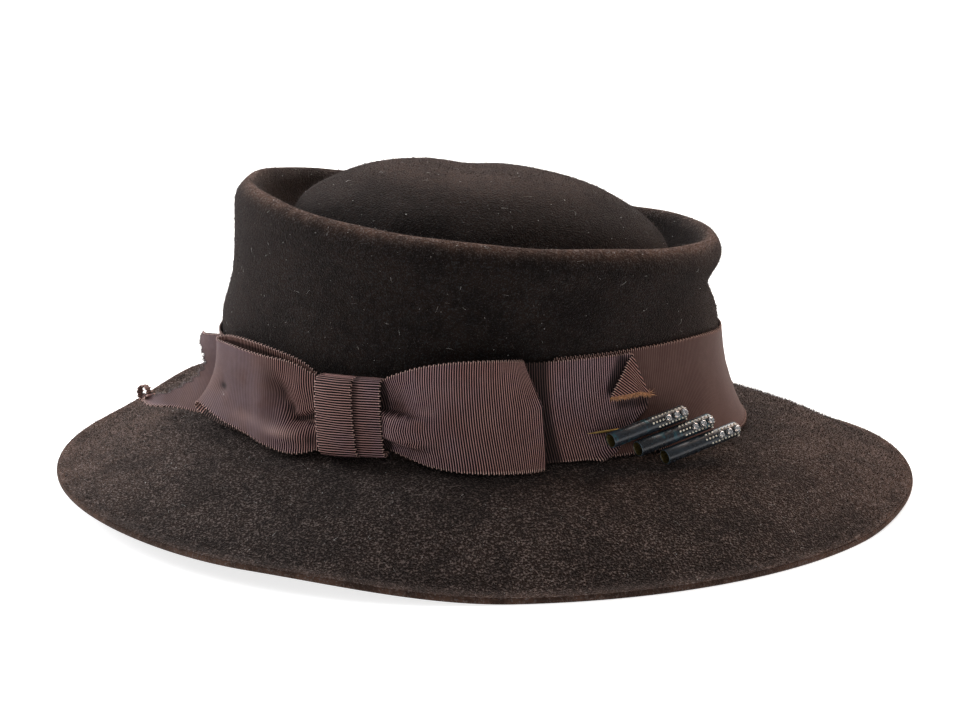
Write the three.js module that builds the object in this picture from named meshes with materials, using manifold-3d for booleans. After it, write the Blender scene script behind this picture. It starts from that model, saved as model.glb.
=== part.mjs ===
// A felt hat: a telescope crown with a round dome, a ribbon band with a flat bow,
// and an ornament of three jewelled tubes on a pin.
// Millimetres, +Z up. The brim rests on z = 0 and the front of the hat points to -X.
import * as THREE from 'three';
import { mergeVertices } from 'three/addons/utils/BufferGeometryUtils.js';
import Module from 'manifold-3d';

const wasm = await Module();
wasm.setup();
const { clamp, degToRad, lerp, radToDeg } = THREE.MathUtils;

// Felt
const FELT_WALL = 2.2;
const BRIM_HALF_LENGTH = 165.9;
const BRIM_HALF_WIDTH = 148.4;
const FRONT_LIFT = 8.7;
const RIM_HEIGHT = 106.4;
const RIM_FRONT_RISE = 3.4;
const CROWN_TILT = -0.105;
const NEAR_LIFT = { share: 0.68, start: -0.06, run: 0.55 };
const FAR_LIFT = { share: 1, start: 0.3, run: 0.68 };
const LAST_LIFT = { start: 0.5, run: 0.5 };
const BACK_LIFT = { height: 2.5, start: 0.82, run: 0.18 };
const FAR_TURN_UP = { height: 12.4, angle: 135, frontSpread: 13, backSpread: 16, run: 0.3 };
const FRONT_RISE_START = 0.55;
const FELT_SIDES = 60;

// Ribbon and its trimmings
const RIBBON_WALL = 1;
const BAND_GAP = 0.7;
const BAND_COLUMNS = 60;
const BAND_SPREAD_POWER = 4;
const LAP_STEP = 1.4;
const LAP_ANGLES = { under: -72, stepStart: -84, stepRun: 9 };
const CORNER_WALL = 1.1;
const CORNER_ROWS = [0.12, 0.55, 1];
const RIBBON_ROWS = 6;
const LOOP_STEPS = 28;
const LOOP_FLARE_POWER = 2.5;
const LOOP_FLARE_OUT = 0.5;
const GATHER_CENTRE = 0.45;
const KNOT_STEPS = 16;
const TAIL_STEPS = 14;

// Ornament
const TUBE_LENGTH = 34;
const TUBE_RADIUS = 2.9;
const TUBE_BORE = 2.3;
const TUBE_BORE_DEPTH = 14;
const TUBE_SIDES = 14;
const TUBE_CHAMFER = 0.8;
const TUBE_COUNT = 3;
const TUBE_PITCH = 6.3;
const TUBE_SHIFT = 9.1;
const STONE_RADIUS = 1.15;
const STONE_HEIGHT = 1.1;
const STONE_GIRDLE = 0.45;
const STONE_BACK_SHARE = 0.9;
const STONE_TABLE_SHARE = 0.58;
const STONE_FACETS = 8;
const STONE_PLACES = [24.6, 28.4, 32];
const SEAT_RADIUS = 1.45;
const SEAT_RISE = 0.15;
const SEAT_SUNK = 0.6;
const STUD_RADIUS = 0.42;
const STUD_RISE = 0.4;
const STUD_SUNK = 0.5;
const STUD_SIDES = 5;
const PIN_RADIUS = 0.5;
const ROUND_SIDES = 10;
const CLEARANCE = 0.3;

// Rows of a table under the names of its columns.
function table(columns, rows) {
  return rows.map((row) => Object.fromEntries(columns.map((column, index) => [column, row[index]])));
}

// The felt's outer sections from the edge of the brim to the dome, each an oval round (x, 0).
// height is at x = 0, tilt is the rise for each millimetre of x, lift is the share of the edge's lift
// and rise the share of the rim's rise at the front.
const FELT_SECTIONS = table(['name', 'length', 'width', 'x', 'height', 'tilt', 'lift', 'rise'], [
  ['edge', BRIM_HALF_LENGTH, BRIM_HALF_WIDTH, 0, FELT_WALL, 0, 1, 0],
  ['land', 160.9, 142, 0, FELT_WALL, 0, 1, 0],
  ['brim outer', 151.4, 132.4, 0, 7.5, 0, 0.8, 0],
  ['brim middle', 134, 115, 0, 17, 0, 0.45, 0],
  ['brim inner', 116, 97, 0, 24.5, -0.005, 0.15, 0],
  ['root', 104, 84.5, -1.5, 28.3, -0.015, 0, 0],
  ['foot', 100.6, 81.2, -2, 31.5, -0.015, 0, 0],
  ['band middle', 96.5, 77.8, -4.3, 47, -0.018, 0, 0],
  ['band top', 94.9, 74.9, -5, 64, -0.02, 0, 0],
  ['wall low', 93, 73, -3.4, 79, -0.05, 0, 0.2],
  ['wall high', 92.6, 72.6, -2.2, 90, -0.085, 0, 0.6],
  ['rim outside', 93, 73, -1.1, RIM_HEIGHT - 8, CROWN_TILT, 0, 1],
  ['rim shoulder', 91.4, 71.4, -1, RIM_HEIGHT - 3, CROWN_TILT, 0, 1],
  ['rim crest', 87.5, 67.5, -0.8, RIM_HEIGHT, CROWN_TILT, 0, 1],
  ['rim lip', 83.6, 63.6, -0.8, RIM_HEIGHT - 3, CROWN_TILT, 0, 1],
  ['rim inside', 81.6, 61.6, -0.8, RIM_HEIGHT - 9.5, CROWN_TILT, 0, 0.8],
  ['moat', 77.5, 57.5, -0.8, RIM_HEIGHT - 17, CROWN_TILT, 0, 0.4],
  ['dome foot', 72.5, 52.5, -0.8, RIM_HEIGHT - 9, CROWN_TILT, 0, 0],
  ['dome shoulder', 68, 48.5, -0.8, RIM_HEIGHT - 2, CROWN_TILT, 0, 0],
  ['dome side', 59, 42, -0.8, RIM_HEIGHT + 5, CROWN_TILT, 0, 0],
  ['dome upper', 43, 31, -0.8, RIM_HEIGHT + 12.3, CROWN_TILT, 0, 0],
  ['dome crown', 22, 16, -0.8, RIM_HEIGHT + 15.8, CROWN_TILT, 0, 0],
]);
const DOME_TOP = { ...FELT_SECTIONS.at(-1), length: 0, width: 0, height: RIM_HEIGHT + 16.4 };

// The sections that the ribbon is wound on.
const WALL_START = FELT_SECTIONS.findIndex((section) => section.name === 'brim inner');
const WALL_END = FELT_SECTIONS.findIndex((section) => section.name === 'rim outside');
const WALL_SECTIONS = FELT_SECTIONS.slice(WALL_START, WALL_END + 1);

// Dents pressed into the felt: the centre, the push along X and Z, and the spread along each axis.
const FELT_DENTS = table(['name', 'x', 'y', 'z', 'pushX', 'pushZ', 'spreadX', 'spreadY', 'spreadZ'], [
  ['pinch behind', 92, 0, 80, -4.5, 0, 30, 34, 8],
  ['swell in front', -97, 0, 70, -1.2, 0, 20, 40, 8],
  ['dip of the dome', -6, 4, 122, 0, -2.2, 10, 30, 12],
  ['low side of the rim', 52, 52, 100, 0, -2.2, 36, 24, 14],
  ['low foot behind', 98, 0, 28, 0, -4, 26, 48, 8],
]);

// The band's foot and top round the crown, from its outer end to its beginning a full turn on.
// spread is how far the foot lies out over the brim. The bow draws the band together, and behind it slipped.
const BAND_EDGES = table(['angle', 'foot', 'top', 'spread'], [
  [-45, 29.4, 64.6, 0],
  [-60, 29.4, 64.9, 0],
  [-75, 29.6, 64.6, 0],
  [-90, 29.8, 63.4, 0],
  [-102, 30.4, 60, 0],
  [-115, 31, 54.4, 0],
  [-128, 30.6, 59, 0],
  [-142, 31, 62.2, 0],
  [-165, 31.5, 61.8, 0],
  [-195, 31.5, 61.2, 0],
  [-240, 30.7, 60.8, 0.4],
  [-270, 30, 60.4, 1],
  [-300, 29, 60.2, 1.2],
  [-345, 25.8, 60.4, 1.5],
  [-372, 25.6, 62.4, 1.6],
  [-390, 27.4, 64.8, 1],
  [-410, 29, 65.6, 0.3],
  [-435, 29.4, 65.4, 0],
]);

// The band's rows from its foot to its top, and the angle at which the slanted outer end cuts each one.
const BAND_ROWS = table(['across', 'end'], [
  [0, -65.2],
  [0.06, -61.4],
  [0.2, -57],
  [0.4, -52.9],
  [0.56, -50.4],
  [0.78, -52.2],
  [1, -53.9],
]);

// The corner of that end is turned over. Its fold runs from the top edge to the cut, and its point lies flat.
const CORNER = {
  top: { angle: -53.9, height: 64.3 },
  foot: { angle: -50.3, height: 49 },
  point: { angle: -60.4, height: 50.6 },
};

// Stations from the fold to the point: the share of the way, degrees past the fold and height above the band.
const CORNER_BEND = table(['reach', 'past', 'rise'], [
  [0, -0.5, 0],
  [0, 0.2, 0.15],
  [0, 0.45, 0.75],
  [0, 0.2, 1.35],
  [0.12, 0, 1.55],
  [1, 0, 1.55],
]);

// The two loops of the bow, each one ribbon from the knot out to its fold and back.
// angle is round the crown, standoff is from the felt, low and high are the ribbon's edges,
// pleat is how far the gathers near the knot stand out and flare is how far the foot swings outwards.
const REAR_LOOP = table(['angle', 'standoff', 'low', 'high', 'pleat', 'flare'], [
  [-112, 4.4, 38.5, 53.5, 0, 0],
  [-104, 4, 31.5, 61.8, 0, 0],
  [-95, 3.9, 30.3, 65, 0, 0],
  [-86, 4, 29.8, 66, 0, 0],
  [-80.5, 4.3, 29.4, 66.2, 0, 0],
  [-77, 6, 29, 66.4, 0, 0],
  [-79.5, 7.7, 28.6, 66.8, 0, 0],
  [-86, 9.3, 28.7, 67.4, 0, 0],
  [-93, 10.8, 29.3, 67.2, 0.3, 0],
  [-99.5, 10.2, 30.6, 65.2, 1.2, 0],
  [-104.3, 8.8, 32.8, 62.4, 1.7, 0],
  [-108.5, 7.4, 36, 57.5, 1.2, 0],
  [-112, 6.8, 39, 53, 0.6, 0],
]);
const FRONT_LOOP = table(['angle', 'standoff', 'low', 'high', 'pleat', 'flare'], [
  [-119, 4.4, 38, 53, 0, 0],
  [-127.5, 4, 32.5, 62, 0, 0],
  [-138, 4.1, 31.5, 65.4, 0, 0],
  [-148, 4.3, 32, 66.2, 0, 2],
  [-155, 4.5, 32.5, 65.4, 0, 6],
  [-158.5, 6.3, 33.2, 63.9, 0, 9.5],
  [-155.5, 8.1, 34.2, 64, 0, 7],
  [-149.5, 9, 35, 64.5, 0, 2.5],
  [-142, 9.2, 34.6, 64.3, -0.3, 0],
  [-135.5, 8.8, 32.8, 64, -1.2, 0],
  [-129, 8, 30.8, 63, -1.6, 0],
  [-123.5, 7.6, 33.2, 59, -1, 0],
  [-119, 7.6, 37, 55.4, -0.4, 0],
]);

// The knot's section, from the felt over the top of the bow, down its face and back under it.
const KNOT_ANGLES = { left: -121.8, right: -108.4, fold: -114 };
const KNOT_FOLD_HALF = 0.5;
const KNOT_UPPER_LAYER = { rise: 0.8, start: 6, run: 3 };
const KNOT_SECTION = table(['standoff', 'height'], [
  [2.7, 58.2],
  [5.6, 59.4],
  [8.8, 58.3],
  [9.9, 53.6],
  [10.1, 45.5],
  [9.8, 37],
  [8.8, 33.2],
  [6.4, 32],
  [3.9, 32.8],
]);

// The tail's two edges from behind the front loop to the points of its forked end.
const TAIL_LOW_EDGE = table(['angle', 'standoff', 'height'], [
  [-150, 2.85, 32.8],
  [-158, 2.9, 32.6],
  [-164, 3.4, 32.2],
  [-169, 8.5, 31.4],
  [-175, 16.5, 31],
  [-180, 25.5, 29.6],
  [-184.5, 33, 31.5],
]);
const TAIL_HIGH_EDGE = table(['angle', 'standoff', 'height'], [
  [-150, 2.75, 64],
  [-158, 2.8, 63.6],
  [-164, 3.3, 62.8],
  [-168.5, 5.6, 61.8],
  [-172, 7, 60.8],
  [-174.2, 7.3, 60.4],
  [-176, 7.6, 60],
]);

// The share of the tail's length at which its fork cuts each row, from its foot to its top.
const TAIL_ENDS = [1, 0.875, 0.757, 0.655, 0.585, 0.555, 0.61, 0.74, 1];

// The first tube's middle, its axis, the side of it that carries the stones and the way to the next tube.
const TUBE_MIDDLE = new THREE.Vector3(58.5, -71.1, 39.8);
const TUBE_AXIS = new THREE.Vector3(0.815, 0.56, 0.15).normalize();
const TUBE_FACE = new THREE.Vector3(0.449, -0.786, 0.424);
const TUBE_STEP = new THREE.Vector3(0.26, -0.43, -0.86);
const PIN_TIP = { angle: -67, standoff: 4.9, height: 39 };
const PIN_END = { angle: -50, standoff: 4.8, height: 38.6 };

// Rows of studs: start along the tube, count, spacing and turn from the row of stones in degrees.
const STUD_ROWS = table(['start', 'count', 'spacing', 'turn'], [
  [19.9, 11, 1.22, -42],
  [19.3, 4, 1.22, -6],
  [21.6, 9, 1.22, 34],
]);

const FELT_FINISH = { color: 0x2a1c18, roughness: 0.95, metalness: 0 };
const RIBBON_FINISH = { color: 0x4a3230, roughness: 0.7, metalness: 0 };
const TUBE_FINISH = { color: 0x27313c, roughness: 0.3, metalness: 0.8 };
const STONE_FINISH = { color: 0xe8ecf0, roughness: 0.05, metalness: 0 };
const PIN_FINISH = { color: 0x8a6a2c, roughness: 0.35, metalness: 1 };

function smoothStep(value) {
  const t = Math.min(Math.max(value, 0), 1);
  return t * t * (3 - 2 * t);
}

// The brim's edge rests on the table along both sides. It lifts a little behind and more in front, sooner on
// the near side, and turns up further on the far side, in front of the crown's shoulder.
function edgeLift(angle) {
  const forwards = -Math.cos(angle);
  const side = Math.sin(angle) < 0 ? NEAR_LIFT : FAR_LIFT;
  const firstRise = smoothStep((forwards - side.start) / side.run);
  const lastRise = smoothStep((forwards - LAST_LIFT.start) / LAST_LIFT.run);
  const frontLift = FRONT_LIFT * lerp(lastRise, firstRise, side.share);
  const lift = frontLift + BACK_LIFT.height * smoothStep((-forwards - BACK_LIFT.start) / BACK_LIFT.run);
  if (side === NEAR_LIFT) return lift;
  const past = radToDeg(Math.acos(clamp(-forwards, -1, 1))) - FAR_TURN_UP.angle;
  const spread = past > 0 ? FAR_TURN_UP.frontSpread : FAR_TURN_UP.backSpread;
  const start = smoothStep((forwards - FAR_LIFT.start) / FAR_TURN_UP.run);
  return lift + FAR_TURN_UP.height * start * Math.exp(-((past / spread) ** 2));
}

function dentPush(point) {
  const push = new THREE.Vector3();
  for (const dent of FELT_DENTS) {
    const dx = (point.x - dent.x) / dent.spreadX;
    const dy = (point.y - dent.y) / dent.spreadY;
    const dz = (point.z - dent.z) / dent.spreadZ;
    const share = Math.exp(-dx * dx - dy * dy - dz * dz);
    push.addScaledVector(new THREE.Vector3(dent.pushX, 0, dent.pushZ), share);
  }
  return push;
}

function feltPoint(section, angle) {
  const x = section.x + section.length * Math.cos(angle);
  const y = section.width * Math.sin(angle);
  const inFront = smoothStep((-Math.cos(angle) - FRONT_RISE_START) / (1 - FRONT_RISE_START));
  const frontRise = RIM_FRONT_RISE * inFront;
  const z = section.height + section.tilt * x + section.lift * edgeLift(angle) + section.rise * frontRise;
  const point = new THREE.Vector3(x, y, z);
  return section.lift === 1 ? point : point.add(dentPush(point));
}

// One closed body from a stack of equal rings that starts and ends in a pole point.
function solidOfRings(startPole, rings, endPole) {
  const sides = rings[0].length;
  const points = [startPole, ...rings.flat(), endPole];
  const triangles = [];
  const last = points.length - 1;
  for (let side = 0; side < sides; side += 1) {
    const next = (side + 1) % sides;
    triangles.push(0, 1 + next, 1 + side);
    for (let ring = 0; ring + 1 < rings.length; ring += 1) {
      const here = 1 + ring * sides;
      const above = here + sides;
      triangles.push(here + side, here + next, above + next);
      triangles.push(here + side, above + next, above + side);
    }
    const top = 1 + (rings.length - 1) * sides;
    triangles.push(top + side, top + next, last);
  }
  const geometry = new THREE.BufferGeometry().setFromPoints(points);
  geometry.setIndex(triangles);
  return geometry;
}

// Rings moved inwards by the wall, along the normal of the surface that the rings make.
function ringsInside(rings, pole, wall) {
  const sides = rings[0].length;
  return rings.map((ring, row) => ring.map((point, side) => {
    const around = ring[(side + 1) % sides].clone().sub(ring[(side + sides - 1) % sides]);
    const before = row > 0 ? rings[row - 1][side] : point;
    const after = row + 1 < rings.length ? rings[row + 1][side] : pole;
    const normal = around.cross(after.clone().sub(before)).normalize();
    return point.clone().addScaledVector(normal, -wall);
  }));
}

function feltBody() {
  const angles = Array.from({ length: FELT_SIDES }, (_, side) => (side / FELT_SIDES) * 2 * Math.PI);
  const outer = FELT_SECTIONS.map((section) => angles.map((angle) => feltPoint(section, angle)));
  const domeTop = feltPoint(DOME_TOP, 0);
  const inner = ringsInside(outer, domeTop, FELT_WALL);
  // The edge and its land are cut square and lie flat.
  for (const row of [0, 1]) {
    inner[row] = outer[row].map((point) => point.clone().setZ(point.z - FELT_WALL));
  }
  const underTop = domeTop.clone().setZ(domeTop.z - FELT_WALL);
  return solidOfRings(underTop, [...inner.reverse(), ...outer], domeTop);
}

// A point beside the crown at an angle in degrees and a height, with its distance from the felt.
function besideCrown(angle, height, standoff) {
  const turn = degToRad(angle);
  const points = WALL_SECTIONS.map((section) => feltPoint(section, turn));
  let row = 0;
  while (row + 2 < points.length && points[row + 1].z < height) {
    row += 1;
  }
  const share = (height - points[row].z) / (points[row + 1].z - points[row].z);
  const point = points[row].clone().lerp(points[row + 1], share);
  const { length, width } = WALL_SECTIONS[row];
  const outwards = new THREE.Vector3(Math.cos(turn) / length, Math.sin(turn) / width, 0).normalize();
  return point.addScaledVector(outwards, standoff);
}

// One closed sheet of even thickness round a grid of points, columns along it and rows across it.
function sheetSolid(grid, wall) {
  const columns = grid.length;
  const rows = grid[0].length;
  const at = (column, row) => grid[clamp(column, 0, columns - 1)][clamp(row, 0, rows - 1)];
  const faces = [0.5, -0.5].map((side) => grid.map((line, column) => line.map((point, row) => {
    const along = at(column + 1, row).clone().sub(at(column - 1, row));
    const across = at(column, row + 1).clone().sub(at(column, row - 1));
    return point.clone().addScaledVector(along.cross(across).normalize(), side * wall);
  })));
  const points = [...faces[0].flat(), ...faces[1].flat()];
  const front = (column, row) => column * rows + row;
  const back = (column, row) => columns * rows + column * rows + row;
  const triangles = [];
  const quad = (a, b, c, d) => triangles.push(a, b, c, a, c, d);
  for (let column = 0; column + 1 < columns; column += 1) {
    for (let row = 0; row + 1 < rows; row += 1) {
      quad(front(column, row), front(column + 1, row), front(column + 1, row + 1), front(column, row + 1));
      quad(back(column, row), back(column, row + 1), back(column + 1, row + 1), back(column + 1, row));
    }
    quad(front(column, 0), back(column, 0), back(column + 1, 0), front(column + 1, 0));
    const edge = rows - 1;
    quad(front(column + 1, edge), back(column + 1, edge), back(column, edge), front(column, edge));
  }
  for (let row = 0; row + 1 < rows; row += 1) {
    const end = columns - 1;
    quad(front(0, row + 1), back(0, row + 1), back(0, row), front(0, row));
    quad(front(end, row), back(end, row), back(end, row + 1), front(end, row + 1));
  }
  const geometry = new THREE.BufferGeometry().setFromPoints(points);
  geometry.setIndex(triangles);
  return geometry;
}

// A smooth reading of a table's columns at a share of its length, from 0 to 1.
function readTable(rows, share) {
  const place = share * (rows.length - 1);
  const index = Math.min(Math.floor(place), rows.length - 2);
  const t = place - index;
  const row = (offset) => rows[clamp(index + offset, 0, rows.length - 1)];
  const reading = {};
  for (const column of Object.keys(rows[0])) {
    const [a, b, c, d] = [-1, 0, 1, 2].map((offset) => row(offset)[column]);
    const bend = 2 * a - 5 * b + 4 * c - d;
    const swing = 3 * (b - c) + d - a;
    reading[column] = b + 0.5 * t * (c - a + t * (bend + t * swing));
  }
  return reading;
}

// The same reading at an angle, for rows that run down by angle.
function readAtAngle(rows, angle) {
  const after = rows.findIndex((row, index) => index > 0 && row.angle <= angle);
  const row = (after < 0 ? rows.length - 1 : after) - 1;
  const share = (rows[row].angle - angle) / (rows[row].angle - rows[row + 1].angle);
  return readTable(rows, (row + share) / (rows.length - 1));
}

function evenShares(steps) {
  return Array.from({ length: steps + 1 }, (_, step) => step / steps);
}

// Joined bodies
function manifoldOf(geometry) {
  const bare = geometry.clone();
  bare.deleteAttribute('normal');
  bare.deleteAttribute('uv');
  const merged = mergeVertices(bare, 1e-4);
  const index = Array.from(merged.index.array);
  const triVerts = [];
  for (let corner = 0; corner < index.length; corner += 3) {
    const [a, b, c] = index.slice(corner, corner + 3);
    if (a !== b && b !== c && c !== a) {
      triVerts.push(a, b, c);
    }
  }
  const mesh = new wasm.Mesh({
    numProp: 3,
    vertProperties: new Float32Array(merged.attributes.position.array),
    triVerts: new Uint32Array(triVerts),
  });
  return new wasm.Manifold(mesh);
}

function geometryOf(manifold) {
  const mesh = manifold.getMesh();
  const geometry = new THREE.BufferGeometry();
  geometry.setAttribute('position', new THREE.BufferAttribute(new Float32Array(mesh.vertProperties), 3));
  geometry.setIndex(Array.from(mesh.triVerts));
  return geometry;
}

// A point of the band at an angle in degrees and a share of the way across, lifted where its end laps over.
function bandPoint(angle, across, rise) {
  const { foot, top, spread } = readAtAngle(BAND_EDGES, angle);
  const lap = LAP_STEP * smoothStep((angle - LAP_ANGLES.stepStart) / LAP_ANGLES.stepRun);
  const standoff = BAND_GAP + RIBBON_WALL / 2 + lap + spread * (1 - across) ** BAND_SPREAD_POWER;
  return besideCrown(angle, lerp(foot, top, across), standoff + rise);
}

function turnedCorner() {
  const { top, foot, point } = CORNER;
  const grid = CORNER_BEND.map(({ reach, past, rise }) => CORNER_ROWS.map((down) => {
    const at = (key) => lerp(top[key], lerp(foot[key], point[key], reach), down);
    const angle = at('angle') + past;
    const edges = readAtAngle(BAND_EDGES, angle);
    return bandPoint(angle, (at('height') - edges.foot) / (edges.top - edges.foot), rise);
  }));
  return sheetSolid(grid, CORNER_WALL);
}

// The band runs once round the crown and its end laps over its beginning under the ornament.
function hatBand() {
  const grid = evenShares(BAND_COLUMNS).map((along) => BAND_ROWS.map(({ across, end }) => {
    const angle = lerp(end, LAP_ANGLES.under - 360, along);
    return bandPoint(angle, across, 0);
  }));
  const band = manifoldOf(sheetSolid(grid, RIBBON_WALL));
  return geometryOf(band.add(manifoldOf(turnedCorner())));
}

function bowLoop(stations) {
  const grid = evenShares(LOOP_STEPS).map((along) => {
    const station = readTable(stations, along);
    return evenShares(RIBBON_ROWS).map((across) => {
      const gather = station.pleat * Math.cos(2 * Math.PI * (across - GATHER_CENTRE));
      const swing = station.flare * (1 - across) ** LOOP_FLARE_POWER;
      const standoff = station.standoff + gather + LOOP_FLARE_OUT * swing;
      return besideCrown(station.angle - swing, lerp(station.low, station.high, across), standoff);
    });
  });
  return sheetSolid(grid, RIBBON_WALL);
}

function bowKnot() {
  const { left, right, fold } = KNOT_ANGLES;
  const crease = [fold - KNOT_FOLD_HALF, fold + KNOT_FOLD_HALF];
  const angles = [left, (left + fold) / 2, ...crease, (fold + right) / 2, right];
  const { rise, start, run } = KNOT_UPPER_LAYER;
  const grid = evenShares(KNOT_STEPS).map((along) => {
    const station = readTable(KNOT_SECTION, along);
    return angles.map((angle) => {
      const layer = angle < fold ? rise * smoothStep((station.standoff - start) / run) : 0;
      return besideCrown(angle, station.height, station.standoff + layer);
    });
  });
  return sheetSolid(grid, RIBBON_WALL);
}

// The tail's end is cut to a fork: each row across it stops where the cut does.
function bowTail() {
  const grid = evenShares(TAIL_STEPS).map((along) => TAIL_ENDS.map((end, row) => {
    const across = row / (TAIL_ENDS.length - 1);
    const low = readTable(TAIL_LOW_EDGE, along * end);
    const high = readTable(TAIL_HIGH_EDGE, along * end);
    const angle = lerp(low.angle, high.angle, across);
    const height = lerp(low.height, high.height, across);
    return besideCrown(angle, height, lerp(low.standoff, high.standoff, across));
  }));
  return sheetSolid(grid, RIBBON_WALL);
}

// A tube lies along Y from its open mouth, with its stones along +Z.
function ornamentTube() {
  const profile = [
    [0, TUBE_BORE_DEPTH],
    [TUBE_BORE, TUBE_BORE_DEPTH],
    [TUBE_BORE, 0],
    [TUBE_RADIUS, 0],
    [TUBE_RADIUS, TUBE_LENGTH - TUBE_CHAMFER],
    [TUBE_RADIUS - TUBE_CHAMFER, TUBE_LENGTH],
    [0, TUBE_LENGTH],
  ].map(([radius, along]) => new THREE.Vector2(radius, along));
  let body = manifoldOf(new THREE.LatheGeometry(profile, TUBE_SIDES));
  for (const place of STONE_PLACES) {
    const height = TUBE_RADIUS - TUBE_BORE + SEAT_RISE + SEAT_SUNK;
    const seat = new THREE.CylinderGeometry(SEAT_RADIUS, SEAT_RADIUS, height, ROUND_SIDES);
    seat.rotateX(Math.PI / 2);
    seat.translate(0, place, TUBE_RADIUS + SEAT_RISE - height / 2);
    body = body.add(manifoldOf(seat));
  }
  for (const row of STUD_ROWS) {
    for (let stud = 0; stud < row.count; stud += 1) {
      const cone = new THREE.ConeGeometry(STUD_RADIUS, STUD_RISE + STUD_SUNK, STUD_SIDES);
      cone.rotateX(Math.PI / 2);
      cone.translate(0, 0, TUBE_RADIUS + (STUD_RISE - STUD_SUNK) / 2);
      cone.rotateY(degToRad(row.turn));
      cone.translate(0, row.start + stud * row.spacing, 0);
      body = body.add(manifoldOf(cone));
    }
  }
  return geometryOf(body);
}

// A stone has a flat back, a thin girdle and eight facets up to its table.
function stone() {
  const profile = [
    [0, 0],
    [STONE_RADIUS * STONE_BACK_SHARE, 0],
    [STONE_RADIUS, STONE_GIRDLE],
    [STONE_RADIUS * STONE_TABLE_SHARE, STONE_HEIGHT],
    [0, STONE_HEIGHT],
  ].map(([radius, height]) => new THREE.Vector2(radius, height));
  const geometry = new THREE.LatheGeometry(profile, STONE_FACETS);
  geometry.rotateX(Math.PI / 2);
  return geometry;
}

const hat = new THREE.Group();

function place(group, name, geometry, finish) {
  const mesh = new THREE.Mesh(geometry, new THREE.MeshStandardMaterial(finish));
  mesh.name = name;
  group.add(mesh);
  return mesh;
}

// Each tube hangs below the one before and is moved along, as steps.
function placeOrnament() {
  const face = TUBE_FACE.clone().addScaledVector(TUBE_AXIS, -TUBE_FACE.dot(TUBE_AXIS)).normalize();
  const side = TUBE_AXIS.clone().cross(face);
  const step = TUBE_STEP.clone().addScaledVector(TUBE_AXIS, -TUBE_STEP.dot(TUBE_AXIS)).normalize();
  for (let number = 1; number <= TUBE_COUNT; number += 1) {
    const tube = new THREE.Group();
    tube.quaternion.setFromRotationMatrix(new THREE.Matrix4().makeBasis(side, TUBE_AXIS, face));
    tube.position.copy(TUBE_MIDDLE);
    tube.position.addScaledVector(TUBE_AXIS, (number - 1) * TUBE_SHIFT - TUBE_LENGTH / 2);
    tube.position.addScaledVector(step, (number - 1) * TUBE_PITCH);
    place(tube, `ornament_tube_${number}`, ornamentTube(), TUBE_FINISH);
    STONE_PLACES.forEach((along, index) => {
      const mesh = place(tube, `stone_${number}_${index + 1}`, stone(), STONE_FINISH);
      mesh.position.set(0, along, TUBE_RADIUS + SEAT_RISE + CLEARANCE);
    });
    hat.add(tube);
  }
}

function placePin() {
  const tip = besideCrown(PIN_TIP.angle, PIN_TIP.height, PIN_TIP.standoff);
  const end = besideCrown(PIN_END.angle, PIN_END.height, PIN_END.standoff);
  const run = end.clone().sub(tip);
  const rod = new THREE.CylinderGeometry(PIN_RADIUS, PIN_RADIUS, run.length(), ROUND_SIDES);
  const pin = place(hat, 'ornament_pin', rod, PIN_FINISH);
  pin.position.copy(tip).lerp(end, 0.5);
  pin.quaternion.setFromUnitVectors(new THREE.Vector3(0, 1, 0), run.normalize());
}

place(hat, 'felt_body', feltBody(), FELT_FINISH);
place(hat, 'hat_band', hatBand(), RIBBON_FINISH);
place(hat, 'bow_loop_rear', bowLoop(REAR_LOOP), RIBBON_FINISH);
place(hat, 'bow_loop_front', bowLoop(FRONT_LOOP), RIBBON_FINISH);
place(hat, 'bow_knot', bowKnot(), RIBBON_FINISH);
place(hat, 'bow_tail', bowTail(), RIBBON_FINISH);
placeOrnament();
placePin();

export default hat;
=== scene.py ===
import math

import bpy
import numpy as np
from mathutils import Matrix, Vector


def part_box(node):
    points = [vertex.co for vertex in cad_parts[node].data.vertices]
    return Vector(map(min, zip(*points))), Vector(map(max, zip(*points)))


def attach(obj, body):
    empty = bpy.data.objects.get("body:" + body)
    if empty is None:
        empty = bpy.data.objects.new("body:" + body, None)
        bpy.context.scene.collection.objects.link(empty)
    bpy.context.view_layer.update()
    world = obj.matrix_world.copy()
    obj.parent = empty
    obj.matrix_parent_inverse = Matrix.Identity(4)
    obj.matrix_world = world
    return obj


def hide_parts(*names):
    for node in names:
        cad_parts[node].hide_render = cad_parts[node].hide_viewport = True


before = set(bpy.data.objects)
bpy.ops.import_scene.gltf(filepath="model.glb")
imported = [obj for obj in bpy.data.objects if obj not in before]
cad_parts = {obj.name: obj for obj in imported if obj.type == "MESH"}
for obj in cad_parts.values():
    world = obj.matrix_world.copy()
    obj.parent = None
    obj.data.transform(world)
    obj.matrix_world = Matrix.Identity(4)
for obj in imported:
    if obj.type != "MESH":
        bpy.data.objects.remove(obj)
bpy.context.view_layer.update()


# Felt hood
# Crown and brim are one hood of velour felt, steamed over a block: the top is sunk to a telescope crown
# with a round dome inside its rim, and the cut edge of the brim is pressed flat.
MM = 0.001
felt_low, felt_high = (np.array(corner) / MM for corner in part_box("felt_body"))
BRIM_LENGTH, BRIM_WIDTH = (felt_high - felt_low)[:2] / 2
FELT_WALL = 2.2
EDGE_ROUND = 0.7
FRONT_LIFT = 8.7
NEAR_LIFT, FAR_LIFT, LAST_LIFT = (0.68, -0.06, 0.55), (1, 0.3, 0.68), (0.5, 0.5)
BACK_LIFT = (2.5, 0.82, 0.18)
FAR_TURN_UP, TURN_UP_ANGLE, TURN_UP_SPREADS = 12.4, 135, (16, 13)
RIM = 106.4
RIM_FRONT_RISE = 3.4
FRONT_RISE_START = 0.55
TILT = -0.105
FELT_SIDES = 320
ROWS_A_SECTION = 7

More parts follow.
